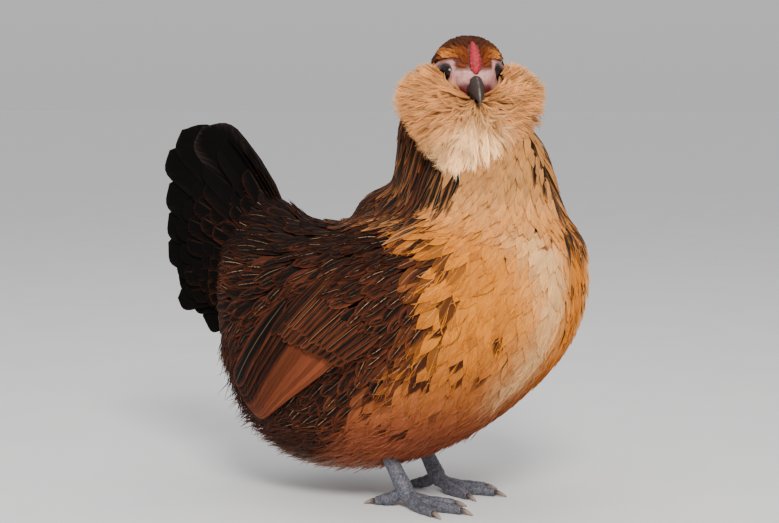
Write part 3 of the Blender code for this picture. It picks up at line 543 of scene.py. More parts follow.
def fused(shapes, voxel, rounds):
    """One closed surface round all shapes, smoothed, as points and triangles."""
    obj = linked("fusing", new_mesh("fusing", *joined(shapes)))
    remesh = obj.modifiers.new("fuse", "REMESH")
    remesh.mode, remesh.voxel_size = "VOXEL", voxel
    smooth = obj.modifiers.new("smooth", "SMOOTH")
    smooth.factor, smooth.iterations = 0.5, rounds
    return worked_out(obj)


def point_values(mesh, name, values):
    """Stores a colour (for the tint) or three numbers at each point of a mesh."""
    values = np.asarray(values, np.float32)
    if name == "tint":
        values = np.hstack([values, np.ones((len(values), 1), np.float32)])
        kind, field = "FLOAT_COLOR", "color"
    else:
        kind, field = "FLOAT_VECTOR", "vector"
    mesh.attributes.new(name, kind, "POINT").data.foreach_set(field, values.ravel())


def add_piece(name, shape, finish, slot, replaced=(), sharp=50, unwrap=None, **values):
    """A piece of the model: shape is its points and triangles, values are kept at its points."""
    mesh = new_mesh(name, *shape)
    for key, rows in values.items():
        point_values(mesh, key, rows)
    if unwrap is not None:
        corner = np.zeros(len(mesh.loops), int)
        mesh.loops.foreach_get("vertex_index", corner)
        flat = np.clip(unwrap, 0, 1)[corner].astype(np.float32)
        mesh.uv_layers.new(name="OFBake").data.foreach_set("uv", flat.ravel())
    obj = linked(name, mesh)
    mesh.materials.append(finish_named(finish))
    mesh.shade_smooth()
    mesh.set_sharp_from_angle(angle=math.radians(sharp))
    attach(obj, "root")
    if replaced:
        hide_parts(*replaced)


# Shapes of the body

def torso_section(y):
    low, high, half_width = station(TORSO, y)
    centre = low + 0.50 * (high - low)
    return centre, high - centre, centre - low, half_width


def torso_shape():
    made = []
    for y in spread(TORSO[0][0], TORSO[-1][0], 44)[1:-1]:
        centre, above, below, half_width = torso_section(y)
        middle = Vector((0, y, centre))
        made.append(oval(middle, X_AXIS, Z_AXIS, half_width, above, below, TORSO_FULLNESS, 56))
    return loft(made, Vector((0, *TORSO[0][:2])), Vector((0, *TORSO[-1][:2])))


def torso_side(y, z):
    """Half width of the torso at a height, or 0 outside it."""
    if not TORSO[0][0] < y < TORSO[-1][0]:
        return 0.0
    centre, above, below, half_width = torso_section(y)
    share = abs(z - centre) / (above if z > centre else below)
    return half_width * (1 - share ** TORSO_FULLNESS) ** (1 / TORSO_FULLNESS) if share < 1 else 0.0


def neck_shape():
    made = []
    low, high = NECK[0][0], NECK[-1][0]
    for i in range(22):
        z = low + (high - low) * i / 21
        y, depth, width = station(NECK, z)
        made.append(oval(Vector((0, y, z)), X_AXIS, Y_AXIS, width, depth, depth, 2.0, 44))
    return loft(made, None, Vector((0, NECK[-1][1], high + 0.003)))


def head_axes():
    forward = Vector((math.sin(HEAD_HEADING), -math.cos(HEAD_HEADING), 0))
    left = Vector((math.cos(HEAD_HEADING), math.sin(HEAD_HEADING), 0))
    forward = Matrix.Rotation(HEAD_PITCH, 3, left) @ forward
    return forward, left, forward.cross(left)


FORWARD, LEFT, UP = head_axes()


def on_head(forward, left, up):
    """A place given in the head's own directions."""
    return EYES_MID + FORWARD * forward + LEFT * left + UP * up


def head_places(points):
    """Places in the head's own directions: columns forward, left, up."""
    away = np.asarray(points) - np.array(EYES_MID)
    return np.stack([away @ np.array(FORWARD), away @ np.array(LEFT), away @ np.array(UP)], 1)


def head_shape(rings=30, sides=48):
    made = []
    for f in spread(HEAD[0][0], HEAD[-1][0], rings)[1:-1]:
        low, high, half_width = station(HEAD, f)
        centre = (low + high) / 2
        made.append(oval(on_head(f, 0, centre), LEFT, UP, half_width, high - centre, centre - low,
                         2.1, sides))
    return loft(made, on_head(HEAD[0][0], 0, HEAD[0][1]), on_head(HEAD[-1][0], 0, HEAD[-1][1]))


def tube(line, radii, sides, flat=None):
    """A round limb through a line of points, kept above the level named flat."""
    rings = []
    for i, middle in enumerate(line):
        ahead = (line[min(i + 1, len(line) - 1)] - line[max(i - 1, 0)]).normalized()
        side = ahead.cross(Z_AXIS)
        if side.length < 0.1:
            side = ahead.cross(Y_AXIS)
        side.normalize()
        up = side.cross(ahead).normalized()
        ring = oval(middle, side, up, radii[i], radii[i], radii[i], 2.0, sides)
        if flat is not None:
            ring = [Vector((p.x, p.y, max(p.z, flat))) for p in ring]
        rings.append(ring)
    return loft(rings)


def mirrored(point, side):
    return Vector((point.x * side, point.y, point.z))


def thigh_shape(side):
    line, radii = [], []
    for i in range(13):
        t = i / 12
        line.append(mirrored(THIGH_TOP.lerp(THIGH_LOW, 1.06 * t), side))
        radii += station(THIGH_LINE, t)
    return tube(line, radii, 24)


# The wing

def wing_frame():
    start, end = Vector((0, *WING_SHOULDER)), Vector((0, *WING_TIP))
    along = end - start
    length = along.length
    along.normalize()
    return start, length, along, Vector((0, -along.z, along.y))


def wing_places(points):
    """Shares along the wing's axis, and heights above it."""
    start, length, along, up = wing_frame()
    away = np.asarray(points) - np.array(start)
    return away @ np.array(along) / length, away @ np.array(up)


def wing_point(side, share, rise, lift):
    """A point on or off the wing's outer face."""
    start, length, along, up = wing_frame()
    below, above, out = station(WING, min(max(share, 0.0), 1.0))
    place = start + along * (share * length) + up * rise
    out -= max(share - 1, 0.0) * length * 0.35
    reach = rise / (above if rise > 0 else below * 2.2)
    stiff = out * (1 - 0.30 * min(reach * reach, 1.3))
    body = torso_side(place.y, place.z) + WING_CLEAR
    x = (stiff + body + math.hypot(stiff - body, WING_SMOOTH)) / 2
    return Vector((side * (x + lift), place.y, place.z))


def wing_normal(side, share, rise):
    along = wing_point(side, share + 0.03, rise, 0) - wing_point(side, share - 0.03, rise, 0)
    across = wing_point(side, share, rise + 0.004, 0) - wing_point(side, share, rise - 0.004, 0)
    normal = along.cross(across).normalized()
    return normal if normal.x * side > 0 else -normal


def wing_slab(side):
    """The folded wing's bulk, from the shoulder to where the flight feathers run free."""
    rows, columns = 18, 12
    outer, inner = [], []
    for i in range(rows):
        share = 0.02 + (WING_CORE_END - 0.02) * i / (rows - 1)
        below, above = station(WING, share)[:2]
        for j in range(columns):
            rise = -below + (below + above) * (0.04 + 0.92 * j / (columns - 1))
            edge = min(i, rows - 1 - i, j, columns - 1 - j)
            lift = -0.0002 if edge > 1 else -0.0012 if edge else -0.0030
            outer.append(wing_point(side, share, rise, lift))
            inner.append(wing_point(side, share, rise, -0.0095))
    faces = vane_faces(rows, columns)
    return np.array([tuple(p) for p in outer + inner]), faces if side < 0 else faces[:, ::-1]


class Surface:
    """A closed surface that feathers are laid on."""

    def __init__(self, points, faces):
        self.points, self.faces = points, faces
        self.corners = points[faces]
        flat = flat_normals(self.corners)
        self.areas = np.linalg.norm(flat, axis=1) / 2
        self.flat = flat / np.maximum(np.linalg.norm(flat, axis=1, keepdims=True), 1e-12)
        self.tree = BVHTree.FromPolygons([Vector(p) for p in points], faces.tolist())

    def near(self, place):
        """The nearest point of the surface, and the way out there."""
        found = self.tree.find_nearest(place)
        return found[0], found[1]

    def scattered(self, spacing, keep, seed):
        """Places and normals spread over the surface, each clear of others by the spacing there."""
        rng = np.random.default_rng(seed)
        centres = self.corners.mean(axis=1)
        wanted = keep(centres) > 0
        areas = np.where(wanted, self.areas, 0)
        least = float(spacing(centres[wanted]).min())
        count = min(int(areas.sum() / least ** 2 * 7) + 10, 260000)
        chosen = rng.choice(len(areas), count, p=areas / areas.sum())
        a, b = rng.random(count), rng.random(count)
        over = a + b > 1
        a[over], b[over] = 1 - a[over], 1 - b[over]
        corner = self.corners[chosen]
        first, second = corner[:, 1] - corner[:, 0], corner[:, 2] - corner[:, 0]
        places = corner[:, 0] + a[:, None] * first + b[:, None] * second
        gaps = spacing(places)
        cell = float(gaps.max())
        keys = np.floor(places / cell).astype(int)
        grid, taken = {}, []
        around = [(i, j, k) for i in (-1, 0, 1) for j in (-1, 0, 1) for k in (-1, 0, 1)]
        rows, gaps_list, keys_list = places.tolist(), gaps.tolist(), keys.tolist()
        for n, (x, y, z) in enumerate(rows):
            i, j, k = keys_list[n]
            limit = gaps_list[n] ** 2
            free = True
            for di, dj, dk in around:
                for u, v, w in grid.get((i + di, j + dj, k + dk), ()):
                    if (x - u) ** 2 + (y - v) ** 2 + (z - w) ** 2 < limit:
                        free = False
                        break
                if not free:
                    break
            if free:
                grid.setdefault((i, j, k), []).append((x, y, z))
                taken.append(n)
        return places[taken], self.flat[chosen[taken]]


def tail_core():
    """The root of the tail: a closed fan from inside the rump part of the way up its feathers."""
    base, sides = Vector((0, *TAIL_ROOT)), 36
    low, high = TAIL_CORE_SPAN
    rings = []
    for start, share, half in TAIL_CORE_RINGS:
        ring = []
        for k in range(sides):
            turn = 2 * math.pi * k / sides
            angle = (low + high) / 2 + (high - low) / 2 * math.sin(turn)
            reach = start + share * (station(sorted(TAIL_PAIRS), angle)[0] - TAIL_RUMP)
            wide = half * (1.25 - 0.35 * math.sin(turn)) * math.cos(turn)
            ring.append(base + slanted(angle) * reach + Vector((wide, 0, 0)))
        rings.append(ring)
    return loft(rings)


def blob(centre, radii, rows=16, sides=24):
    """A plain egg shape that fills a hollow between two others."""
    rings, top = [], Vector((0, 0, radii[2]))
    for i in range(1, rows):
        angle = math.pi * i / rows
        level = centre + Vector((0, 0, radii[2] * math.cos(angle)))
        across, along = radii[0] * math.sin(angle), radii[1] * math.sin(angle)
        rings.append(oval(level, X_AXIS, Y_AXIS, across, along, along, 2.0, sides))
    return loft(rings, centre + top, centre - top)


@lru_cache(maxsize=None)
def coat_surface():
    """The outer level of the small feathers over body, neck, wing bows and tail root."""
    shapes = [torso_shape(), neck_shape(), head_shape(), tail_core()]
    shapes += [blob(Vector((0, 0.060, 0.140)), (0.019, 0.026, 0.029)),
               blob(Vector((0, -0.030, 0.160)), (0.030, 0.034, 0.020))]
    shapes += [thigh_shape(side) for side in (-1, 1)] + [wing_slab(side) for side in (-1, 1)]
    return Surface(*fused(shapes, 0.0024, 12))


# Markings, the same on skin and coat

def beyond_edge(p):
    """How far places lie to the rear of the line where the dark side meets the breast."""
    edge_z, edge_y = zip(*DARK_EDGE)
    return p[:, 1] - np.interp(p[:, 2], edge_z, edge_y)


def from_throat(p):
    """The angle round the neck from the middle of its pale throat."""
    turn = np.arctan2(p[:, 0], -(p[:, 1] - NECK_AXIS_Y))
    return np.abs((turn - THROAT - THROAT_SHIFT + math.pi) % (2 * math.pi) - math.pi)


def dark_share(p):
    """1 on the dark back and flanks, 0 on the buff breast and the throat."""
    dark = step(beyond_edge(p), -0.010, 0.010)
    low = 1 - step(p[:, 2], 0.030, 0.055)
    dark *= 1 - low * (1 - step(np.abs(p[:, 0]), 0.014, 0.030))
    hackle = step(from_throat(p), math.radians(42), math.radians(66))
    on_neck = step(p[:, 2], 0.160, 0.176)
    return dark * (1 - on_neck) + hackle * on_neck


def ground_colour(p):
    """The colour between the marks of the feathers at places on the body."""
    up = step(p[:, 2], 0.045, 0.125)[:, None]
    breast = shade("rust") * (1 - up) + shade("buff") * up
    cloud = np.sin(p @ (310.0, 270.0, 410.0)) * np.sin(p @ (-230.0, 350.0, 190.0) + 1.3)
    breast = breast * (1 + 0.10 * cloud[:, None])
    breast = blend(breast, shade("rust") * 1.5, (0.22 * np.clip(-cloud, 0, 1))[:, None])
    stripe = np.exp(-((np.abs(p[:, 0]) - 0.024) / 0.010) ** 2) * step(-p[:, 1], 0.085, 0.105)
    stripe = stripe * step(p[:, 2], 0.050, 0.080) * (1 - step(p[:, 2], 0.150, 0.175))
    breast = blend(breast, shade("cream") * 1.05, (0.46 * stripe)[:, None])
    dark = dark_share(p)[:, None]
    throat = step(p[:, 2], 0.150, 0.185)[:, None] * (1 - dark)
    breast = breast + (shade("cream") - breast) * 0.22 * throat
    # Painted shade: the colour 30% darker from the upper throat upwards, where the beard hangs over
    # it.
    breast = breast * (1 - 0.30 * step(p[:, 2], 0.176, 0.194)[:, None])
    near = 4 * dark * (1 - dark)
    return breast * (1 - dark) + shade("umber") * (1 + 0.6 * near) * dark


def lie(p):
    """The way that the coat lies: from head to tail, and down over breast and flanks."""
    front = step(-p[:, 1], 0.030, 0.100)[:, None]
    high = step(p[:, 2], 0.128, 0.160)[:, None]
    low = (1 - step(p[:, 2], 0.030, 0.070))[:, None]
    rear = step(p[:, 1], 0.010, 0.055)[:, None]
    neck = step(p[:, 2], 0.166, 0.190)[:, None]
    rump = rear * step(p[:, 2], 0.085, 0.120)[:, None]
    way = blend(np.array((0.0, 0.72, -0.70)), np.array((0.0, 0.42, -0.90)), front)
    way = blend(way, np.array((0.0, 1.0, -0.16)), high * (1 - front))
    way = blend(way, np.array((0.0, 0.50, -0.86)), rear * (1 - high))
    way = blend(way, np.array((0.0, 0.95, -0.25)), low)
    angle = np.arctan2(p[:, 2] - TAIL_ROOT[1], p[:, 1] + 0.010)
    angle = np.clip(angle, math.radians(-25), math.radians(62))
    way = blend(way, np.stack([np.zeros(len(p)), np.cos(angle), np.sin(angle)], 1), rump)
    down = np.array((0.0, 0.22, -1.0)) + np.sign(p[:, 0])[:, None] * (0.18, 0.0, 0.0)
    way = blend(way, down, neck)
    return way / np.linalg.norm(way, axis=1, keepdims=True)


# Feathers and barbs

class Coat:
    """Feathers or barbs gathered into one mesh, each with its place on an unwrap of the skin."""

    def __init__(self, unwrap):
        self.unwrap, self.base = unwrap, 0
        self.points, self.faces, self.patch = [], [], []
        self.vane, self.tint, self.mark = [], [], []

    def gather(self, points, faces, across, along, draw, tint, mark, root):
        """Adds one closed shape with its values, and its place on the unwrap from its root."""
        count = len(points)
        self.points.append(points)
        self.faces.append(turned_out(points, faces) + self.base)
        self.vane.append(np.stack([across, along, np.full(count, draw)], 1))
        self.tint.append(np.tile(np.asarray(tint, float), (count, 1)))
        self.mark.append(np.tile(np.asarray(mark, float), (count, 1)))
        own = np.stack([across * 0.0015, (along - 0.5) * 0.003], 1)
        self.patch.append(np.array(self.unwrap(root)) + own)
        self.base += count

    def feather(self, grid, ups, draw, tint, mark, thick=VANE_THICK):
        """A closed vane from a grid of points (rows, columns, 3) and the ways up there."""
        rows, columns = grid.shape[:2]
        top = grid.reshape(-1, 3)
        points = np.vstack([top, top - ups.reshape(-1, 3) * thick])
        across = np.tile(np.linspace(-1, 1, columns), rows)
        along = np.repeat(np.linspace(0, 1, rows), columns)
        self.gather(points, vane_faces(rows, columns), np.tile(across, 2), np.tile(along, 2), draw,
                    tint, mark, top[columns // 2])

    def wisps(self, grid, ups, count, rng, tint, reach=1.25, thick=0.00011, run=0.22, over=1.10):
        """Loose barbs that leave a laid feather's shaft and pass over its edge or its tip."""
        rows, columns = grid.shape[:2]
        middle, shaft = columns // 2, grid[:, columns // 2]
        last = rows - 1
        for draw, start, out, rise in rng.random((count, 4)):
            edge = 0 if out < 0.5 else columns - 1
            at = last * (0.30 + 0.62 * start)
            line = []
            for t in (0.0, 0.55, 1.0):
                place = min(at + t * last * (run + 0.16 * rise), last * over)
                i = int(min(place, last - 1))
                share = place - i
                base = shaft[i] + (shaft[i + 1] - shaft[i]) * share
                rim = grid[i, edge] + (grid[i + 1, edge] - grid[i, edge]) * share
                line.append(base + (rim - base) * (reach * t * (0.55 + 0.9 * abs(out - 0.5)))
                            + ups[i, middle] * (0.00012 + 0.00050 * t * rise))
            radii = np.array((0.8, 1.0, 0.2)) * thick * (0.8 + 0.5 * draw)
            self.barb(line, radii, draw, tint * (0.86 + 0.30 * draw))

    def barb(self, line, radii, draw, tint):
        """A thin three-sided barb along a line of points."""
        line = np.asarray(line)
        ahead = np.gradient(line, axis=0)
        side = np.cross(ahead, (0.31, 0.22, 0.92))
        side /= np.maximum(np.linalg.norm(side, axis=1, keepdims=True), 1e-9)
        up = np.cross(side, ahead)
        up /= np.maximum(np.linalg.norm(up, axis=1, keepdims=True), 1e-9)
        turns = (2 * math.pi * np.arange(3) / 3 + 6.28 * draw)[None, :, None]
        ring = side[:, None] * np.cos(turns) + up[:, None] * np.sin(turns)
        points = (line[:, None] + ring * np.asarray(radii)[:, None, None]).reshape(-1, 3)
        along = np.repeat(np.linspace(0, 1, len(line)), 3)
        self.gather(points, barb_faces(len(line)), np.zeros(len(points)), along, draw,
                    tint, NO_MARK, line[0])

    def piece(self, name, finish, slot, replaced=(), sharp=50):
        """The gathered feathers as one piece of the model."""
        points, faces, patch, vane, tint, mark = map(
            np.vstack, (self.points, self.faces, self.patch, self.vane, self.tint, self.mark))
        add_piece(name, (points, faces), finish, slot, replaced, sharp, patch,
                  vane=vane, tint=tint, mark=mark)


def unrolled(across, up, share):
    """A place on the bake map: the angle round an axis, and the share along it."""
    return 0.02 + 0.96 * (0.5 + math.atan2(across, up) / (2 * math.pi)), 0.02 + 0.96 * share


def body_unwrap(place):
    """The body rolled out round its long axis."""
    x, y, z = place
    return unrolled(x, z - 0.100, (y + 0.14) / 0.30)


def neck_unwrap(place):
    """The neck rolled out round its upright axis."""
    x, y, z = place
    return unrolled(x, y - NECK_AXIS_Y, (z - 0.12) / 0.14)


def head_unwrap(place):
    """The head rolled out round the way that it faces."""
    f, l, u = head_places([place])[0]
    return unrolled(l, u + 0.010, (f + 0.05) / 0.10)


def laid(surface, root, way, length, width, profile, rise, arch, columns=5, bend=0.0):
    """A grid of points for a feather laid on a surface.

    rise gives its height off the surface at root, middle and tip, arch how far its edges droop as a
    share of its width, and bend turns it sideways along its length.
    """
    place, up = surface.near(root)
    way = (way - up * way.dot(up)).normalized()
    grid = np.zeros((len(profile), columns, 3))
    ups = np.zeros_like(grid)
    last = 0.0
    for i, (t, wide) in enumerate(profile):
        if i:
            place, up = surface.near(place + way * ((t - last) * length))
            way = way - up * way.dot(up)
            way = (Matrix.Rotation(bend * (t - last), 3, up) @ way).normalized()
            last = t
        side = way.cross(up)
        height = float(np.interp(t, (0, 0.45, 1), rise))
        half = width * wide / 2
        for c in range(columns):
            share = 2 * c / (columns - 1) - 1
            spot, out = surface.near(place + side * (half * share))
            spot = spot + out * (height - arch * abs(share) ** 1.6 * half * 2)
            grid[i, c], ups[i, c] = spot, out
    return grid, ups


# Nodes

def maths(operation, turned=False):
    """An operator of Value that adds a Math node, with its two sides exchanged where turned."""
    def method(self, other):
        return self.maker.math(operation, *((other, self) if turned else (self, other)))
    return method


class Value:
    """A socket that adds Math nodes for the operators used on it."""

    def __init__(self, maker, socket):
        self.maker, self.socket = maker, socket

    __add__ = __radd__ = maths("ADD")
    __mul__ = __rmul__ = maths("MULTIPLY")
    __sub__ = maths("SUBTRACT")
    __rsub__ = maths("SUBTRACT", True)

    def __abs__(self):
        return self.maker.math("ABSOLUTE", self)


class Maker:
    """Builds the nodes of one tree."""

    def __init__(self, tree):
        self.tree = tree
        self.tree.nodes.clear()

    def node(self, kind, settings, values):
        """Adds a node: its settings first, then the values or links of its sockets."""
        made = self.tree.nodes.new(kind if "Node" in kind else "ShaderNode" + kind)
        for key, value in settings.items():
            if key == "stops":
                ramp = made.color_ramp
                for spare in list(ramp.elements)[1:]:
                    ramp.elements.remove(spare)
                for i, (place, colour) in enumerate(value):
                    stop = ramp.elements[0] if i == 0 else ramp.elements.new(place)
                    stop.position, stop.color = place, (*colour, 1.0)
            else:
                setattr(made, key, value)
        for key, value in values.items():
            socket = next((s for s in made.inputs if s.identifier == key), None) or made.inputs[key]
            if isinstance(value, Value):
                self.tree.links.new(value.socket, socket)
            elif isinstance(value, (tuple, list, np.ndarray)):
                socket.default_value = (*value, 1.0) if socket.type == "RGBA" else tuple(value)
            else:
                socket.default_value = value
        return made

    def value(self, kind, settings, values, output=0):
        """Adds a node and gives one of its outputs, by number, identifier or name."""
        made = self.node(kind, settings, values)
        if isinstance(output, str):
            return Value(self, next(s for s in made.outputs if output in (s.identifier, s.name)))
        return Value(self, made.outputs[output])

    def math(self, operation, *values):
        return self.value("Math", {"operation": operation},
                          dict(zip(("Value", "Value_001"), values)))

    def ease(self, x, low, high):
        """0 below low, 1 above high, smooth between."""
        values = {"Value": x, "From Min": low, "From Max": high, "To Min": 0.0, "To Max": 1.0}
        return self.value("MapRange", {"interpolation_type": "SMOOTHSTEP"}, values)

    def mix(self, share, first, second, blend_type="MIX"):
        settings = {"data_type": "RGBA", "blend_type": blend_type, "clamp_factor": True}
        values = {"Factor_Float": share, "A_Color": first, "B_Color": second}
        return self.value("Mix", settings, values, "Result_Color")

    def times(self, first, second):
        """Two colours multiplied."""
        return self.mix(1.0, first, second, "MULTIPLY")

    def vector(self, x, y, z):
        return self.value("CombineXYZ", {}, {"X": x, "Y": y, "Z": z})

    def tint(self):
        return self.value("Attribute", {"attribute_name": "tint"}, {}, "Color")

    def parts(self, name):
        """The three parts of a vector attribute."""
        vector = self.value("Attribute", {"attribute_name": name}, {}, "Vector")
        made = self.node("SeparateXYZ", {}, {"Vector": vector})
        return [Value(self, s) for s in made.outputs]

    def place(self):
        return self.value("TexCoord", {}, {}, "Object")

    def noise(self, vector, scale, detail=2.0, roughness=0.5):
        return self.value("TexNoise", {}, {"Vector": vector, "Scale": scale, "Detail": detail,
                                           "Roughness": roughness}, "Fac")

    def cells(self, vector, scale):
        return self.value("TexVoronoi", {}, {"Vector": vector, "Scale": scale}, "Distance")

    def finish(self, colour, roughness, bump=None, **constants):
        """The surface: bump is (height, strength, depth), constants are its other sockets."""
        values = {"Base Color": colour, "Roughness": roughness}
        if bump:
            bump = dict(zip(("Height", "Strength", "Distance"), bump))
            values["Normal"] = self.value("Bump", {}, bump)
        values.update({key.replace("_", " "): value for key, value in constants.items()})
        shader = self.value("BsdfPrincipled", {}, values)
        self.node("OutputMaterial", {}, {"Surface": shader})


def feather_material(m, barbs, gloss=0.60, contrast=0.26, night=0.50, level=0.09):
    """Barbs running out from a shaft, with a dark centre, an edge and a shaft as its marks say.

    barbs is how many run along it, contrast how much they differ, night how bright a dark centre
    is, gloss its roughness and level its shine.
    """
    across, along, draw = m.parts("vane")
    dark, shaft, lace = m.parts("mark")
    tint = m.tint()
    side = abs(across)
    run = along * barbs - side * (barbs * 0.30)
    ribs = m.noise(m.vector(run, side * 0.9 + draw * 37.0, across * 0.6), 1.0, 3.0, 0.62)
    clumps = m.noise(m.vector(run * 0.16, side * 1.3, draw * 91.0), 1.0, 2.0)
    tip = m.ease(along, 0.50, 1.15)
    rim = m.math("SQRT", side * side * 0.66 + tip * tip)
    rim = rim + (ribs - 0.5) * 0.70 + (clumps - 0.5) * 0.80
    centre = 1.0 - m.ease(rim, 0.46 - lace, 1.40 - lace)
    ground = m.mix(m.ease(ribs, 0.30, 0.72), m.times(tint, (1 - contrast,) * 3),
                   m.times(tint, (1 + contrast * 0.55,) * 3))
    ground = m.mix(m.ease(clumps, 0.35, 0.75) * 0.35, ground, m.times(ground, (0.70, 0.62, 0.56)))
    black = m.mix(m.ease(ribs, 0.35, 0.80), shade("black") * 0.5 * night,
                  shade("black") * 1.6 * night)
    deep = m.mix(m.ease(dark, 0.70, 0.95), shade("umber") * 0.45, black)
    colour = m.mix(m.ease(dark, 0.0, 0.50) * centre, ground, deep)
    line = (1.0 - m.ease(side, 0.02, 0.08)) * shaft * (1.0 - m.ease(along, 0.72, 1.0))
    colour = m.mix(line, colour, shade("quill"))
    colour = m.times(colour, m.mix(draw, (0.93, 0.93, 0.93), (1.06, 1.06, 1.06)))
    height = ribs * 0.8 + m.ease(side, 0.0, 0.09) * -0.35
    m.finish(colour, gloss + ribs * 0.16, (height, 0.45, 0.0004), Specular_IOR_Level=level)


def down_material(m):
    """Soft loose barbs, darker at the root."""
    along, draw = m.parts("vane")[1:]
    tint = m.tint()
    streak = m.noise(m.vector(draw * 63.0, along * 2.2, draw * 11.0), 1.0, 2.0)
    colour = m.mix(m.ease(along, 0.15, 0.85), m.times(tint, (0.66, 0.55, 0.47)),
                   m.times(tint, (1.12, 1.13, 1.15)))
    colour = m.mix(m.ease(streak, 0.42, 0.70) * 0.35, colour, m.times(colour, (0.74, 0.66, 0.58)))
    m.finish(colour, 0.82 + streak * 0.08, None,
             Sheen_Weight=0.10, Sheen_Roughness=0.5, Specular_IOR_Level=0.15)


def skin_material(m):
    """Pebbled bare skin, coloured by place."""
    tint, spot = m.tint(), m.place()
    pebble = m.cells(spot, 1500.0)
    cloud = m.noise(spot, 420.0, 3.0)
    colour = m.mix(m.ease(pebble, 0.10, 0.60) * 0.5, m.times(tint, (1.10, 1.08, 1.08)),
                   m.times(tint, (0.64, 0.52, 0.52)))
    colour = m.mix(m.ease(cloud, 0.42, 0.66) * 0.75, colour, m.times(colour, (0.80, 0.52, 0.50)))
    m.finish(colour, 0.46 + cloud * 0.16, (cloud * 0.5 - pebble * 0.8, 0.5, 0.0003),
             Subsurface_Weight=0.06, Subsurface_Radius=(0.002, 0.0008, 0.0006),
             Specular_IOR_Level=0.4)


def comb_material(m):
    """Rough red flesh, paler on its knobs."""
    spot, red = m.place(), shade("comb")
    cloud = m.noise(spot, 520.0, 4.0, 0.6)
    pore = m.cells(spot, 2400.0)
    colour = m.mix(m.ease(cloud, 0.30, 0.72), red * (0.62, 0.42, 0.45), red * (1.12, 1.25, 1.15))
    colour = m.mix(m.ease(pore, 0.28, 0.65) * 0.4, colour, red * (0.60, 0.36, 0.40))
    m.finish(colour, 0.42 + cloud * 0.18, (cloud * 0.7 - pore * 0.7, 0.55, 0.0004),
             Subsurface_Weight=0.10, Subsurface_Radius=(0.003, 0.0008, 0.0006),
             Specular_IOR_Level=0.45)


def horn_material(m, depth, pale):
    """Smooth dark horn with growth lines, paler where the mark attribute says so: a painted
    highlight along the beak's ridge, the claws' own paler tips.
    """
    light, lines, grime = m.parts("mark")
    cloud = m.noise(m.place(), 380.0, 3.0)
    grain = m.noise(m.vector(lines * 9.0, cloud * 1.4, grime), 1.0, 2.0)
    colour = m.mix(m.ease(light + (cloud - 0.5) * 0.5, 0.25, 0.85),
                   shade("horn") * depth, linear(*pale))
    colour = m.mix(m.ease(grain, 0.42, 0.68) * 0.35, colour, m.times(colour, (0.6, 0.56, 0.52)))
    m.finish(colour, 0.46 + grain * 0.16, (grain, 0.35, 0.0002), Specular_IOR_Level=0.25)


def eye_material(m):
    """A dark iris round a black pupil, under a clear wet surface."""
    away, turn = m.parts("mark")[:2]
    rays = m.noise(m.vector(turn * 9.0, away * 2.0, 0.0), 1.0, 2.0)
    iris = m.mix(m.ease(rays, 0.35, 0.70), shade("eye") * 0.6, shade("eye") * 2.2)
    colour = m.mix(m.ease(away, 0.46, 0.54), (0.002, 0.002, 0.002), iris)
    colour = m.mix(m.ease(away, 0.86, 1.0), colour, (0.01, 0.008, 0.007))
    m.finish(colour, 0.16 + rays * 0.04, None,
             Coat_Weight=0.15, Coat_Roughness=0.03, Specular_IOR_Level=0.16)


def scale_material(m):
    """Slate scales, darker round their edges, with paler skin here and there."""
    spot, slate = m.place(), shade("shank")
    cells, cloud = m.cells(spot, 900.0), m.noise(spot, 300.0, 3.0)
    colour = m.mix(m.ease(cells, 0.20, 0.62), slate * 1.25, slate * (0.55, 0.50, 0.48))
    colour = m.mix(m.ease(cloud, 0.45, 0.72) * 0.5, colour, slate * (1.55, 1.25, 1.10))
    m.finish(colour, 0.40 + cloud * 0.2, (cloud * 0.4 - cells * 0.9, 0.5, 0.0003),
             Specular_IOR_Level=0.45)


def floor_material(m):
    """Pale matte board with a faint mottle."""
    mottle = m.noise(m.place(), 14.0, 4.0)
    m.finish(m.mix(mottle, (0.72, 0.72, 0.73), (0.79, 0.79, 0.79)), 0.7 + mottle * 0.2, None,
             Specular_IOR_Level=0.2)


# Each kind of surface, with the function that adds its nodes and what that is told.
FINISHES = {
    "body_vanes": (feather_material, 30.0),
    "long_vanes": (feather_material, 90.0, 0.58, 0.30, 0.45, 0.07),
    "tail_vanes": (feather_material, 120.0, 0.66, 0.26, 0.25, 0.06),
    "small_vanes": (feather_material, 16.0, 0.66),
    "down": (down_material,),
    "bare_skin": (skin_material,),
    "comb_flesh": (comb_material,),
    # The beak's pale colour is used for the painted highlight along its ridge; the claws' pale
    # colour is their own paler tips.
    "beak_horn": (horn_material, 1.0, (176, 150, 134)),
    "claw_horn": (horn_material, 1.2, (150, 132, 120)),
    "wet_eye": (eye_material,),
    "leg_scale": (scale_material,),
    "studio_floor": (floor_material,),
}


@lru_cache(maxsize=None)
def finish_named(name):
    """The material of one kind of surface, made once."""
    material = bpy.data.materials.new(name)
    material.use_nodes = True
    make, *told = FINISHES[name]
    make(Maker(material.node_tree), *told)
    return material


# Pieces

def face_share(points):
    """1 on the bare skin round the eyes and at the root of the beak."""
    f, l, u = head_places(points).T
    spot = np.sqrt(((f - 0.0030) / 0.0125) ** 2 + ((u + 0.0020) / 0.0090) ** 2)
    gape = np.sqrt(((f - 0.0100) / 0.0080) ** 2 + ((u + 0.0100) / 0.0070) ** 2)
    bare = np.maximum(1 - step(spot, 0.85, 1.12), 1 - step(gape, 0.85, 1.15))
    brow = (np.abs(l) < 0.0105) & (u > 0.0010)
    return bare * step(f, -0.012, -0.006) * np.where(brow, 1 - step(u, 0.0010, 0.0030), 1)


def eye_axes(side):
    """The middle of an eye, the way that it looks, and the way forward across it."""
    out = (LEFT * side * math.cos(EYE_TURN) + FORWARD * math.sin(EYE_TURN)).normalized()
    return on_head(0.0, side * EYE_OUT, 0.0), out, (FORWARD - out * FORWARD.dot(out)).normalized()


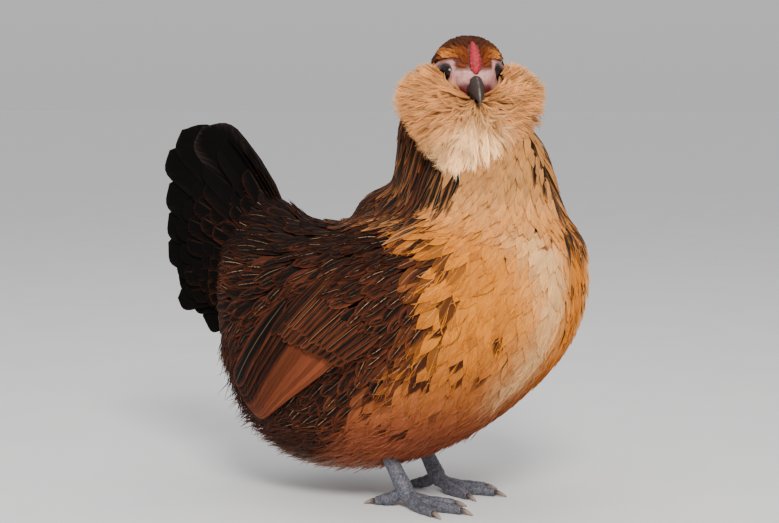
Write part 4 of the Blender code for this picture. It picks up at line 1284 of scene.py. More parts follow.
def lid_shape(side):
    """A fold of skin round the eye."""
    centre, out, ahead = eye_axes(side)
    up = out.cross(ahead)
    up = up if up.dot(UP) > 0 else -up
    points, steps, sides = [], 40, 10
    for k in range(steps):
        turn = 2 * math.pi * k / steps
        way = ahead * math.cos(turn) + up * (math.sin(turn) * 0.86)
        reach = LID_RADIUS * (1 + 0.05 * math.cos(2 * turn))
        middle = centre + out * (EYE_RADIUS * 0.42) + way * (reach * 0.97)
        thick = 0.0006 + 0.0002 * math.sin(turn)
        points += oval(middle, way.normalized(), out, thick * 1.3, thick, thick * 1.6, 2.0, sides)
    points = np.array([tuple(p) for p in points])
    return points, turned_out(points, np.array(band(steps, sides, True)))


def skin_piece():
    """The skin under the feathers, bare on the face, with the eyelids."""
    thighs, lids = ([make(row[0]) for row in SIDES] for make in (thigh_shape, lid_shape))
    points, faces = fused([torso_shape(), neck_shape(), head_shape(40, 60)] + thighs, 0.0018, 4)
    for _ in range(2):
        normals = corner_normals(points, faces)
        bare = face_share(points)
        top = step(points[:, 2], 0.214, 0.232)
        depth = sizes().coat_depth * (1 - top) + 0.0008 * top
        points = points - normals * (depth * (1 - bare) / 2)[:, None]
    count = len(points)
    points, faces = joined([(points, faces)] + lids)
    bare = face_share(points)
    bare[count:] = 1
    f, l, u = head_places(points).T
    gape = np.sqrt(((f - 0.0145) / 0.0068) ** 2 + ((u + 0.0098) / 0.0062) ** 2)
    gape = 1 - step(gape, 0.45, 1.20)
    flesh = blend(shade("face"), shade("gape"), np.clip(gape, 0, 1)[:, None])
    dark = dark_share(points)[:, None]
    under = ground_colour(points) * (1 - dark) + shade("black") * 2 * dark
    crown = step(points[:, 2], 0.222, 0.235)[:, None]
    nape = step(-f, 0.004, 0.012)[:, None]
    top = shade("crown") * 0.7 * (1 - nape) + shade("umber") * 0.35 * nape
    under = under * (1 - crown) + top * crown
    ring = 1 - step(np.hypot(f, u) + np.where(np.abs(l) < 0.008, 1, 0), 0.0050, 0.0068)
    flesh = flesh * (1 - 0.75 * ring[:, None])
    flesh[count:] = shade("face") * 0.10
    add_piece("skin", (points, faces), "bare_skin", "body_feathers",
              ("torso", "neck", "head", "thigh_left", "thigh_right"), 60,
              tint=under * (1 - bare)[:, None] + flesh * bare[:, None])


def under_wing(places):
    """1 where the folded wing lies over the body."""
    share, rise = wing_places(places)
    edges = [station(WING, min(max(s, 0.0), 1.0))[:2] for s in share]
    below, above = np.array(edges).T
    high = np.clip((rise + below) / (below + above), 0, 1)
    inside = (share > 0.45 + 0.19 * high) & (share < 1.02)
    inside &= (rise > -below * 0.55) & (rise < above * 0.72)
    return inside & (np.abs(places[:, 0]) > 0.02)


def under_ruff(places):
    """1 where beard and muffs hide the neck."""
    away = head_places(places) - np.array(RUFF_MIDDLE)
    return (np.linalg.norm(away / (0.020, 0.034, 0.036), axis=1) < 1) & (away[:, 0] > -0.012)


def body_marks(places, rng):
    """Colour and marks of the body feathers rooted at places."""
    count = len(places)
    dark = dark_share(places + rng.normal(0, 0.0060, (count, 3)))
    chosen = step(dark + rng.normal(0, 0.18, count), 0.35, 0.65)
    tint = ground_colour(places) * (0.94 + 0.12 * rng.random((count, 1)))
    above = step(places[:, 2], 0.120, 0.150)[:, None]
    edged = shade("umber") * (0.6 + 1.1 * rng.random((count, 1))) * (1 - 0.58 * above)
    tint = tint * (1 - chosen[:, None]) + edged * chosen[:, None]
    near = np.exp(-(beyond_edge(places) / 0.018) ** 2) * (np.abs(places[:, 0]) > 0.018)
    partial = (rng.random(count) < 0.85 * near) * (0.15 + 0.4 * rng.random(count))
    centre = np.maximum(chosen, partial)
    few = rng.random(count) ** 2.2
    shaft = np.where(chosen > 0.5, 0.60 * few + 0.25 * near,
                     0.08 + 0.25 * few + 0.60 * near * rng.random(count))
    share = wing_places(places)[0]
    bow = (share > -0.05) & (share < 0.50) & (np.abs(places[:, 0]) > 0.030)
    broad = np.where(bow, 0.26, np.where(places[:, 2] > 0.135, 0.02, 0.16))
    lace = np.where(chosen > 0.5, broad + 0.22 * rng.random(count), 0.16 * rng.random(count) - 0.16)
    return tint, np.stack([centre, shaft, lace], 1)


def coat_pieces():
    """The small feathers of back, breast, flanks and belly."""
    surface = coat_surface()
    gap = sizes().spacing

    def spacing(p):
        fine = 1 - 0.22 * step(p[:, 2], 0.130, 0.170) * step(-p[:, 1], 0.0, 0.04)
        return gap * fine

    def wanted(p):
        out = np.hypot(p[:, 1] - TAIL_ROOT[0], p[:, 2] - TAIL_ROOT[1])
        core = (out < 0.060) | (p[:, 1] < 0.060)
        return ((p[:, 2] < 0.176) | (p[:, 1] > 0.010)) & (p[:, 2] > 0.016) & core

    places = surface.scattered(spacing, wanted, COAT_SEEDS[0])[0]
    places = places[~under_wing(places)]
    rng = np.random.default_rng(COAT_SEEDS[1])
    tint, mark = body_marks(places, rng)
    ways = lie(places) + rng.normal(0, 0.10, places.shape)
    share, rise = wing_places(places)
    on_wing = (share > -0.02) & (share < 0.64) & (rise > -0.014) & (rise < 0.034)
    on_wing &= np.abs(places[:, 0]) > 0.035
    along = np.array(wing_frame()[2])
    ways[on_wing] = along + rng.normal(0, 0.12, (on_wing.sum(), 3)) + (0, 0, -0.08)
    size = spacing(places) / 0.005
    dark = dark_share(places)
    saddle = step(places[:, 1], 0.020, 0.055) * step(places[:, 2], 0.100, 0.135)
    draws = rng.random((len(places), 4))
    names = ("breast_left", "breast_right", "back", "flank_left", "flank_right", "belly")
    coats = {name: Coat(body_unwrap) for name in names}
    for n in np.argsort(-places[:, 2]):
        x, y, z = places[n]
        soft = 1 - step(z, 0.030, 0.065)
        length = BODY_LENGTH * size[n] * (0.85 + 0.35 * draws[n, 0])
        length *= 1 + 0.25 * soft + 0.55 * saddle[n]
        width = (BODY_WIDTH - 0.0013 * dark[n]) * size[n] * (0.80 + 0.35 * draws[n, 1])
        lift = 0.0001 + 0.0003 * draws[n, 2] + 0.0004 * saddle[n] + 0.0002 * dark[n]
        jag = 1 + 0.16 * (rng.random(len(ROUND)) - 0.5)
        outline = [(t, wide * k) for (t, wide), k in zip(ROUND if dark[n] > 0.5 else POINTED, jag)]
        grid, ups = laid(surface, Vector(places[n]), Vector(ways[n]), length, width, outline,
                         (-0.0014 - 0.0008 * dark[n], -0.0003, lift), 0.01 + 0.04 * dark[n], 3,
                         0.7 * (draws[n, 3] - 0.5))
        if z < 0.052:
            name = "belly"
        elif y < -0.062:
            name = "breast_left" if x > 0 else "breast_right"
        elif z > 0.128:
            name = "back"
        else:
            name = "flank_left" if x > 0 else "flank_right"
        coats[name].feather(grid, ups, draws[n, 0], tint[n], mark[n])
        if dark[n] > 0.6:
            coats[name].wisps(grid, ups, 5, rng, tint[n] * 0.55, 1.2, 0.00012, 0.40, 1.22)
        else:
            coats[name].wisps(grid, ups, 12, rng, tint[n] * 1.08, 1.2, 0.00014, 0.48, 1.35)
    for name, coat in coats.items():
        coat.piece("coat_" + name, "body_vanes", "body_feathers")


def hackle_piece():
    """The long pointed feathers of the neck, and the short ones of the throat."""
    surface = coat_surface()

    def spacing(p):
        return 0.0031 + 0.0006 * (1 - step(p[:, 2], 0.175, 0.225))

    def wanted(p):
        nape = (p[:, 2] < 0.2520) & (head_places(p)[:, 0] < -0.017)
        return (p[:, 2] > 0.164) & ((p[:, 2] < 0.2360) | nape) & (p[:, 1] < -0.008)

    places = surface.scattered(spacing, wanted, HACKLE_SEEDS[0])[0]
    face = (head_places(places)[:, 0] > -0.012) & (places[:, 2] > 0.215)
    places = places[~under_ruff(places) & ~face]
    rng = np.random.default_rng(HACKLE_SEEDS[1])
    ways = lie(places) + rng.normal(0, 0.05, places.shape)
    away = from_throat(places)
    chance = step(away, math.radians(24), math.radians(56))
    dark = (chance ** 1.3 > rng.random(len(away))).astype(float)
    inner = 1 - step(away, math.radians(48), math.radians(82))
    draws = rng.random((len(places), 5))
    tan = shade("gold") * 0.45 + shade("quill") * 0.22
    coat = Coat(neck_unwrap)
    for n in np.argsort(-places[:, 2]):
        high = float(step(places[n, 2], 0.205, 0.232))
        length = sizes().hackle_length * (0.80 + 0.25 * draws[n, 0]) * (1 - 0.45 * high)
        length *= 0.55 + 0.45 * dark[n]
        width = (HACKLE_WIDTH + 0.0010 * draws[n, 1]) * (1 - 0.25 * high)
        grid, ups = laid(surface, Vector(places[n]), Vector(ways[n]), length, width, POINTED,
                         (-0.0022, 0.0003, 0.0008 + 0.0006 * draws[n, 2]), 0.07, 3,
                         0.45 * (draws[n, 3] - 0.5))
        if dark[n] > 0.5:
            edge = blend(shade("umber"), tan, draws[n, 4] ** 3 + 0.6 * inner[n])
            edge = edge * (0.85 + 0.6 * draws[n, 1])
        else:
            edge = ground_colour(places[n:n + 1])[0]
        mark = (dark[n], 0.06 + 0.60 * draws[n, 1] ** 3, 0.12 + 0.34 * draws[n, 3])
        coat.feather(grid, ups, draws[n, 0], edge * (0.9 + 0.2 * draws[n, 2]), mark)
        if dark[n] < 0.5:
            coat.wisps(grid, ups, 5, rng, edge)
    coat.piece("hackle", "body_vanes", "hackle_feathers")


def crown_piece():
    """The smallest feathers, from the comb back over the head."""
    surface = Surface(*head_shape(60, 90))
    gap = sizes().crown_spacing

    def wanted(p):
        head = head_places(p)
        return head[:, 2] > np.where(head[:, 0] < -0.006, -0.030, -0.016)

    places = surface.scattered(lambda p: np.full(len(p), gap), wanted, CROWN_SEEDS[0])[0]
    f, l, u = head_places(places).T
    comb = (f > 0.0035) & (np.abs(l) < 0.0029) & (u > 0.004)
    eyes = (f > -0.006) & (u < 0.0078) & (np.abs(l) > 0.0062)
    places = places[(face_share(places) < 0.4) & ~comb & (f < 0.0118) & ~eyes]
    f, l, u = head_places(places).T
    wide = np.abs(l)
    rng = np.random.default_rng(CROWN_SEEDS[1])
    ways = np.tile(np.array(-FORWARD), (len(places), 1))
    ways = ways + 0.55 * np.outer(-wide / 0.02, np.array(UP))
    ways += rng.normal(0, 0.08, ways.shape)
    gold = np.exp(-(((f + 0.001) / 0.010) ** 2 + ((wide - 0.0115) / 0.0045) ** 2))
    gold *= step(u, 0.002, 0.007)
    rim = step(wide, 0.0115, 0.0165) * step(u, -0.002, 0.006)
    back, high = step(-f, 0.0, 0.020), step(u, 0.0090, 0.0155)
    draws = rng.random((len(places), 3))
    coat = Coat(head_unwrap)
    for n in np.argsort(f):
        length = CROWN_LENGTH * (0.85 + 0.3 * draws[n, 0]) * (1 + 0.9 * back[n])
        grid, ups = laid(surface, Vector(places[n]), Vector(ways[n]), length,
                         CROWN_WIDTH * (1 + 0.5 * back[n]), SMALL,
                         (-0.0006, 0.0003, 0.0006 + 0.0004 * draws[n, 1]), 0.06, 3)
        tint = blend(shade("crown") * (0.45 + 0.8 * draws[n, 2]), shade("gold"), gold[n])
        shadow = max(rim[n] * (1 - gold[n]), 0.9 * back[n], 0.85 * high[n])
        shadow *= 0.55 + 0.45 * draws[n, 1]
        if u[n] < 0.002 and f[n] > -0.004:
            tint, shadow = shade("face") * (0.75 + 0.4 * draws[n, 2]) * (1.0, 0.88, 0.80), 0.0
        tint = tint * (1 - 0.6 * shadow)
        coat.feather(grid, ups, draws[n, 0], tint, (shadow, 0.10, 0.10 - 0.3 * shadow), 0.00012)
    coat.piece("crown", "small_vanes", "head_feathers")


def ruff_point(side, turn, tilt, share):
    """A point of the ruff, at a turn from straight down, a tilt from ahead and a share of reach."""
    reach = station(RUFF_REACH, min(abs(turn), 180))[0]
    turn, tilt = math.radians(turn), math.radians(tilt)
    reach = reach * math.sin(tilt) * share
    ahead = math.cos(tilt) * share
    ahead *= RUFF_FRONT if ahead > 0 else RUFF_BACK
    ahead += BEARD_LEAN * share * math.sin(tilt) * max(math.cos(turn), 0.0)
    forward, left, up = RUFF_MIDDLE
    return on_head(forward + ahead, (left + reach * math.sin(turn)) * side,
                   up - reach * math.cos(turn))


def ruff_body(low, high, side, share):
    """The dense inner part of the beard (side 0) or of a muff, between two turns."""
    def point(turn, tilt, share):
        return ruff_point(side or (1 if turn >= 0 else -1), abs(turn), tilt, share)

    rings = []
    for tilt in spread(12, 119, 16):
        ring = [point(low + (high - low) * k / 23, tilt, share) for k in range(24)]
        rings.append(ring + [point(turn, tilt, 0.12) for turn in (high, low)])
    return loft(rings)


def ruff_tint(side, turn, tilt, draw, stretch):
    """The colour of one tuft: cream in the middle of the beard, the muffs' colour round it."""
    pale = float(1 - step(abs(turn) / 60.0, 0.20, 1.0)) * float(step(tilt / 100.0, 0.05, 0.45))
    tint = blend(shade("muff"), shade("cream"), 0.15 + 0.85 * pale)
    tint = tint * (0.86 + 0.26 * draw) * (1 + 0.32 * pale)
    cloud = math.sin(turn * 0.11 + 2.1 * side) * math.sin(tilt * 0.13 + 1.7)
    tint = tint * (1 + 0.10 * cloud) * (0.76 if stretch > 0.88 and not pale > 0.6 else 1.0)
    return tint * (1 - 0.18 * float(1 - step(tilt / 60.0, 0.2, 0.75)))


def ruff_pieces():
    """Beard and muffs: soft barbs in tufts, lying outwards from under the beak and the ears."""
    middle = np.array(on_head(RUFF_MIDDLE[0], 0, RUFF_MIDDLE[2]))
    # Places kept free of barbs, each (middle, radius): the eyes and the corners of the beak.
    clear = [(on_head(0.0060, s * (EYE_OUT + 0.0032), 0.0006), 0.0102) for s in (-1, 1)]
    clear += [(on_head(0.0155, s * 0.0080, -0.0078), 0.0084) for s in (-1, 1)]
    for name, low, high, side, part, seed in RUFFS:
        rng = np.random.default_rng(seed)
        coat = Coat(head_unwrap)
        for _ in range(int(sizes().ruff_hairs * part / TUFT_HAIRS)):
            u, v, deep, swing, draw, stretch = rng.random(6)
            turn = low - 4 + (high - low + 8) * u
            tilt = 3 + 130 * v ** 0.80
            own = side or (1 if turn >= 0 else -1)
            front = float(1 - step(tilt / 60.0, 0.10, 1.0))
            turn += 60 * front * ((u * 7.13 + v * 3.71) % 1.0 - 0.5)
            tint = ruff_tint(side, turn, tilt, draw, stretch)
            root_share = 0.60 + 0.26 * deep
            tip_share = min(root_share + 0.20 + 0.14 * stretch, 0.985) + 0.06 * (stretch > 0.92)
            lean = (18 + 16 * stretch) * (1 - 0.45 * front)
            veer = (12 + 90 * front) * (swing - 0.5)
            spot = ruff_point(own, abs(turn), tilt, 0.9)
            if any((spot - place).length < reach for place, reach in clear):
                continue
            for _ in range(TUFT_HAIRS):
                a, b, c, d = rng.random(4)
                line = []
                for t in (0.0, 0.36, 0.72, 1.0):
                    angle = max(tilt + 3.2 * (a - 0.5) * (1 - 0.4 * t) - lean * (1 - t), 3.0)
                    share = root_share + (tip_share + 0.05 * (c - 0.5) - root_share) * t ** 0.9
                    about = abs(turn) + 5.0 * (b - 0.5) * (1 - 0.5 * t) + veer * t * t
                    about += 5 * (d - 0.5) * t
                    line.append(tuple(ruff_point(own, max(about, 0.0), angle, share)))
                colour = tint * (0.90 + 0.20 * d)
                if c < 0.035 and side:
                    colour = shade("black") * 2.5 + shade("muff") * 0.15
                radii = np.array((1.0, 1.0, 0.7, 0.10)) * (0.00011 + 0.00009 * a)
                coat.barb(line, radii, d, colour)
        points, faces = ruff_body(low, min(high, 112), side, 0.80)
        for place, reach in clear:
            away = points - np.array(place)
            far = np.linalg.norm(away, axis=1, keepdims=True)
            points = points + away / far * np.maximum(reach * 0.96 - far, 0)
        lumps = 0.0007 * np.sin(points @ (910.0, 730.0, 1130.0))
        lumps = lumps * np.sin(points @ (-640.0, 980.0, 520.0))
        points = points + corner_normals(points, faces) * lumps[:, None]
        across = np.zeros(len(points))
        tint = shade("muff") * 0.66 if side else shade("cream") * 0.62 + shade("muff") * 0.10
        coat.gather(points, faces, across, across + 0.35, 0.5, tint, NO_MARK, middle)
        coat.piece(name, "down", "ruff_feathers", (name,), 70)


def vane_outline(end, full=0.6):
    """Width of a flight feather at shares of its length: narrow quill, even vane, rounded end."""
    return ((0, 0.34), (0.06, 0.62), (full * 0.55, 0.96), (full, 1.0), (0.86, 0.99), (0.91, 0.92),
            (0.945, 0.80), (0.97, 0.62), (0.988, 0.40), (1, end))


def long_vane(coat, place, thick, draw, tint, mark):
    """A vane whose points and ways up come from place(share of length, share of half width)."""
    grid = np.zeros((len(LONG_ROWS), 5, 3))
    ups = np.zeros_like(grid)
    for i, t in enumerate(LONG_ROWS):
        for c, a in enumerate((-1.0, -0.5, 0.0, 0.5, 1.0)):
            grid[i, c], ups[i, c] = place(t, a)
    coat.feather(grid, ups, draw, tint, mark, thick)


def flight_feather(coat, side, root, tip, width, rise, draw, tint, mark, roof=0.0005):
    """A vane on the folded wing; root and tip are (share of its length, height above its axis)."""
    length = wing_frame()[1]
    ahead = Vector(((tip[0] - root[0]) * length, tip[1] - root[1]))
    across = Vector((-ahead.y, ahead.x)).normalized()
    outline = vane_outline(0.20)

    def place(t, a):
        half = width / 2 * station(outline, t)[0]
        back = -0.10 * width * max(t - 0.9, 0)
        s = root[0] + (tip[0] - root[0]) * t + (across.x * a * half + back * a * a) / length
        h = root[1] + (tip[1] - root[1]) * t + across.y * a * half
        lift = station(rise, t)[0] - roof * a - 0.0004 * a * a
        return wing_point(side, s, h, lift), wing_normal(side, s, h)

    long_vane(coat, place, 0.00026, draw, tint, mark)


def wing_pieces():
    """The folded wings: primaries, secondaries with the chestnut bay, and two rows of coverts."""
    for side, word in SIDES:
        rng = np.random.default_rng(WING_SEED)
        coat = Coat(body_unwrap)
        for i in range(PRIMARIES):
            t, draw = i / (PRIMARIES - 1), rng.random()
            root, tip = (0.50, -0.0075 + 0.008 * t), (1.10 - 0.03 * t, -0.0072 + 0.0045 * t)
            flight_feather(coat, side, root, tip, 0.0085, PRIMARY_LIFT, draw, shade("umber") * 0.6,
                           (0.85, 0.05, 0.10))
        for i in range(SECONDARIES):
            t, draw = i / (SECONDARIES - 1), rng.random()
            root = (0.47 + 0.16 * t, -0.0080 + 0.042 * t)
            tip = (1.05 - 0.02 * t, -0.0065 + 0.020 * t * t)
            rise = [(a, lift + SECONDARY_STACK * t * a) for a, lift in SECONDARY_LIFT]
            if t < WING_BAY:
                tint = shade("chestnut") * (1.20 - 1.1 * t) * (0.65 + 0.6 * draw)
                mark = (0.0, 0.06, 0.20)
            else:
                tint = shade("umber") * (0.6 + 0.7 * draw)
                mark = (1.0, 0.03 + 0.10 * draw, 0.10 + 0.08 * draw)
            flight_feather(coat, side, root, tip, 0.0112 + 0.0016 * t, rise, draw, tint, mark,
                           0.0006)
        for root, low, high in ((0.38, 0.54, 0.73), (0.33, 0.49, 0.66)):
            for i in range(COVERTS):
                t, draw = i / (COVERTS - 1), rng.random()
                end = low + (high - low) * t + 0.02 * (rng.random() - 0.5)
                place = root + (high - low) * t * 0.6
                below, above = station(WING, place)[:2]
                start = -below + (below + above) * (0.08 + 0.88 * t)
                below, above = station(WING, end)[:2]
                stop = -below + (below + above) * (0.05 + 0.93 * t) - COVERT_SLANT * t
                mark = (1.0, 0.06 + 0.35 * draw * draw, 0.30 + 0.22 * rng.random())
                width = (below + above) * 1.55 / COVERTS
                flight_feather(coat, side, (place, start), (end, stop), width, COVERT_LIFT, draw,
                               shade("umber") * (0.8 + 0.9 * draw), mark)
        coat.piece("wing_" + word, "long_vanes", "wing_feathers", ("wing_" + word,))


def tail_feather(coat, side, angle, reach, width, start, inner, outer, bow, draw, tint, mark,
                 roll=TAIL_ROLL):
    """A long vane from the rump, its flat side outwards, roofed over the one below it."""
    base, way = Vector((0, *TAIL_ROOT)), slanted(angle)
    across = Vector((0, -way.z, way.y))
    up = (Vector((side, 0, 0)) * math.cos(roll) - across * math.sin(roll)).normalized()
    outline = vane_outline(0.10, 0.70)

    def place(t, a):
        far = start + (reach - start) * t
        out = Vector((side * (inner + (outer - inner) * t), 0, 0))
        middle = base + way * far + across * (bow * reach * math.sin(math.pi * t)) + out
        half = width / 2 * station(outline, t)[0]
        lean = math.sin(roll) * a * half - 0.05 * half * a * a
        round_end = -0.05 * width * max(t - 0.86, 0) / 0.14 * a * a
        spot = middle + across * (a * half * math.cos(roll)) + way * round_end
        return spot + Vector((side * lean, 0, 0)), up

    long_vane(coat, place, 0.00030, draw, tint, mark)


def tail_piece():
    """Main tail feathers in pairs, and rows of coverts over their roots."""
    coat = Coat(body_unwrap)
    rng = np.random.default_rng(TAIL_SEED)
    for side in (-1, 1):
        for pair, (angle, reach) in enumerate(TAIL_PAIRS):
            draw = rng.random()
            out = TAIL_RIDGE + TAIL_STEP * pair
            # The top pair (pair 0) has a grey tint, six times the black, showing at its edges: a
            # painted sheen of light along the top of the tail.
            tail_feather(coat, side, angle, reach, 0.0300 * (1 - 0.02 * pair), 0.016, out, out,
                         0.05 if pair < 3 else 0.02, draw, shade("black") * (1.2 if pair else 6.0),
                         (0.95, 0.0, 0.0 if pair else 0.05))
        for tier, (count, reach, width, first, last) in enumerate(TAIL_COVERTS):
            for i in range(count):
                draw = rng.random()
                fall = i / (count - 1)
                angle = first + (last - first) * fall + 3 * (draw - 0.5)
                start = 0.0030 + 0.0080 * min(fall * 3, 1) + 0.0008 * tier
                out = 0.0012 + 0.0090 * min(fall * 2.2, 1) + 0.0050 * fall + 0.0009 * tier
                length = reach * (1 - 0.22 * fall) * (0.94 + 0.12 * draw)
                tint = shade("umber") * (0.3 + 0.5 * draw) * (0.12 + 0.24 * tier)
                mark = (1.0, 0.06 * draw * tier / 3, -0.08 + 0.05 * tier * draw)
                tail_feather(coat, side, angle, length, width, 0.014, start, out, 0.04, draw, tint,
                             mark, -0.75 + 0.5 * min(fall * 2, 1))
    coat.piece("tail", "tail_vanes", "tail_feathers", ("tail",))


def fluff_piece():
    """Loose down on the belly, the vent and round the thighs."""
    surface = coat_surface()
    count = sizes().fluff_hairs

    def wanted(p):
        rear = (p[:, 1] > 0.030) & (p[:, 2] < 0.090)
        return ((p[:, 2] < 0.046) & (p[:, 1] > -0.075)) | rear

    gap = 0.0016 * math.sqrt(DOWN_HAIRS / max(count, 1))
    places, normals = surface.scattered(lambda p: np.full(len(p), gap), wanted, DOWN_SEEDS[0])
    places, normals = places[:count], normals[:count]
    rng = np.random.default_rng(DOWN_SEEDS[1])
    ways = lie(places) + rng.normal(0, 0.22, places.shape)
    coat = Coat(body_unwrap)
    dark, vent = dark_share(places), np.array(linear(176, 160, 146))
    for n in range(len(places)):
        a, b, c, d = rng.random(4)
        up, way = normals[n], ways[n]
        way = way - up * (way @ up) * 0.75
        way = way / np.linalg.norm(way)
        length = DOWN_LENGTH + 0.0075 * a
        start = places[n] - up * 0.0022
        bend = np.array([0.0, 0.0, -0.0016]) * b
        line = []
        for t in (0.0, 0.35, 0.7, 1.0):
            reach = (way * t + up * (0.26 + 0.16 * c) * t * (1 - 0.45 * t)) * length
            spot = start + reach + bend * t * t
            line.append(np.array((spot[0], spot[1], max(spot[2], 0.012 + 0.002 * d))))
        pale = float(1 - step(places[n][2], 0.018, 0.034))
        tint = shade("rust") * (0.7 + 0.5 * d) * (1 - dark[n])
        tint = tint + shade("umber") * (0.20 + 0.5 * d) * dark[n]
        tint = tint + (vent - tint) * 0.55 * pale * (b > 0.35)
        coat.barb(line, np.array((1.0, 0.9, 0.6, 0.15)) * (0.00026 + 0.00014 * b), d, tint)
    coat.piece("fluff", "down", "body_feathers")


def beak_half(table, domed_up):
    """One half of the beak: flat at the mouth, round on the other side, the upper with nostrils."""
    rings = []
    for f in spread(table[0][0], table[-1][0], 26):
        low, high, half_width = station(table, f)
        flat, top = (low, high) if domed_up else (high, low)
        turns = [math.pi * k / 22 for k in range(23)]
        ring = [on_head(f, half_width * math.cos(turn), flat + (top - flat) * math.sin(turn) ** 0.9)
                for turn in turns]
        rings.append(ring + [on_head(f, half_width * (k / 4 - 1), flat) for k in range(1, 8)])
    points, faces = loft(rings)
    for side in (-1, 1) if domed_up else ():
        pit = np.array(on_head(NOSTRIL[0], NOSTRIL[1] * side, NOSTRIL[2]))
        away = np.linalg.norm((points - pit) * (1, 1, 1.2), axis=1)
        inwards = np.array(on_head(NOSTRIL[0], 0, NOSTRIL[2] - 0.002)) - pit
        inwards /= np.linalg.norm(inwards)
        points += inwards * (0.0012 * np.exp(-(away / 0.0013) ** 2))[:, None]
    return points, faces


def beak_pieces():
    for name, table, domed in (("beak_upper", BEAK_UPPER, True), ("beak_lower", BEAK_LOWER, False)):
        points, faces = beak_half(table, domed)
        f, l, u = head_places(points).T
        # A paler line down the middle of the beak, stronger on the upper half: a painted highlight
        # along its ridge.
        ridge = np.exp(-(l / 0.0009) ** 2) * (1 if domed else 0.3) * step(f, 0.008, 0.014)
        add_piece(name, (points, faces), "beak_horn", "beak", (name,),
                  mark=np.stack([ridge * 0.38 + 0.06, f * 900, u * 100], 1))


def eye_pieces():
    """Eyes whose marks give the angle from the pupil's middle and the turn round it."""
    rows, sides = 26, 40
    for side, word in SIDES:
        centre, out, first = eye_axes(side)
        rings, marks = [], []
        for i in range(1, rows):
            angle = math.pi * i / rows
            reach = EYE_RADIUS * math.sin(angle)
            middle = centre + out * (EYE_RADIUS * math.cos(angle))
            rings.append(oval(middle, first, out.cross(first), reach, reach, reach, 2.0, sides))
            marks += [(angle / (math.pi * 0.34), abs(2 * k / sides - 1), 0.0) for k in range(sides)]
        shape = loft(rings, centre + out * EYE_RADIUS, centre - out * EYE_RADIUS)
        add_piece("eye_" + word, shape, "wet_eye", "eye", ("eye_" + word,), 80,
                  mark=marks + [(0.0, 0.0, 0.0), (3.0, 0.0, 0.0)])


def strewn(name, spots, kind, cuts, size, finish):
    """Geometry Nodes: one small shape at each spot, sized and turned by the spot's own values.

    A spot is (place, way out, way along, stretch), cuts how finely the shape is divided, and size
    its half width and half thickness.
    """
    tree = bpy.data.node_groups.new(name + "_nodes", "GeometryNodeTree")
    sockets = [tree.interface.new_socket(label, in_out=way, socket_type="NodeSocket" + kind_)
               for label, way, kind_ in NODE_SOCKETS]
    m = Maker(tree)
    start = m.node("NodeGroupInput", {}, {})
    points, width, thickness = (Value(m, start.outputs[row[0]]) for row in NODE_SOCKETS[:3])
    shape = m.value("GeometryNodeMesh" + kind, {}, {**cuts, "Radius": 1.0}, "Mesh")
    squeezed = m.value("GeometryNodeTransform", {},
                       {"Geometry": shape, "Scale": m.vector(width, width, thickness)})
    out, along, stretch = (
        m.value("GeometryNodeInputNamedAttribute", {"data_type": "FLOAT_VECTOR"}, {"Name": key},
                "Attribute") for key in ("out", "along", "stretch"))
    up = m.value("FunctionNodeAlignEulerToVector", {"axis": "Z"}, {"Vector": out})
    turned = m.value("FunctionNodeAlignEulerToVector", {"axis": "X", "pivot_axis": "Z"},
                     {"Rotation": up, "Vector": along})
    placed = m.value("GeometryNodeInstanceOnPoints", {},
                     {"Points": points, "Instance": squeezed, "Rotation": turned, "Scale": stretch})
    real = m.value("GeometryNodeRealizeInstances", {}, {"Geometry": placed})
    painted = m.value("GeometryNodeSetMaterial", {},
                      {"Geometry": real, "Material": finish_named(finish)})
    m.node("NodeGroupOutput", {}, {"Geometry": painted})
    mesh = bpy.data.meshes.new(name + "_spots")
    mesh.from_pydata([spot[0] for spot in spots], [], [])
    for column, key in ((1, "out"), (2, "along"), (3, "stretch")):
        point_values(mesh, key, [spot[column] for spot in spots])
    obj = linked(name + "_spots", mesh)
    modifier = obj.modifiers.new("strewn", "NODES")
    modifier.node_group = tree
    modifier[sockets[1].identifier], modifier[sockets[2].identifier] = size
    return worked_out(obj)


def comb_ridge(at):
    """A place on the comb's middle line, at a station or between two."""
    f, u = station(COMB, at)[:2]
    return on_head(f, 0, u)


def comb_piece():
    """The low comb, with rows of fleshy knobs."""
    rings, spots, last = [], [], float(len(COMB) - 1)
    rng = np.random.default_rng(COMB_SEED)
    for i in range(25):
        at = last * i / 24
        half_width, height = station(COMB, at)[2:]
        along = (comb_ridge(min(at + 0.3, last)) - comb_ridge(max(at - 0.3, 0.0))).normalized()
        normal = along.cross(LEFT).normalized()
        if normal.dot(UP + FORWARD * 0.6) < 0:
            normal = -normal
        middle = comb_ridge(at)
        half_width *= (0.94 - 0.25 * at / last) * min(0.5 + 1.2 * at, 1)
        rings.append(oval(middle, LEFT, normal, half_width, height * 0.85, 0.0025, 2.2, 30))
        count = max(int(half_width / 0.0009), 2) if 0 < i < 23 else 0
        for k in range(count):
            a = (k + 0.5 * (i % 2)) / max(count - 1, 1) * 1.9 - 0.95
            if abs(a) > 1:
                continue
            rise = height * 0.80 * math.sqrt(max(1 - a * a * 0.85, 0.05))
            spot = middle + LEFT * (a * half_width) + normal * rise + along * rng.normal(0, 0.0002)
            big = rng.uniform(0.75, 1.15) * min(half_width / 0.0030, 1.0)
            spots.append((spot, (normal + LEFT * (a * 0.7)).normalized(), along,
                          (big, big, big * rng.uniform(0.9, 1.4))))
    beads = strewn("comb", spots, "IcoSphere", {"Subdivisions": 3}, (COMB_BEAD, COMB_BEAD),
                   "comb_flesh")
    add_piece("comb", fused([loft(rings), beads], 0.00026, 4), "comb_flesh", "comb", ("comb",), 70)


def toe_way(side, angle):
    return Vector((math.sin(math.radians(angle)) * side, -math.cos(math.radians(angle)), 0))


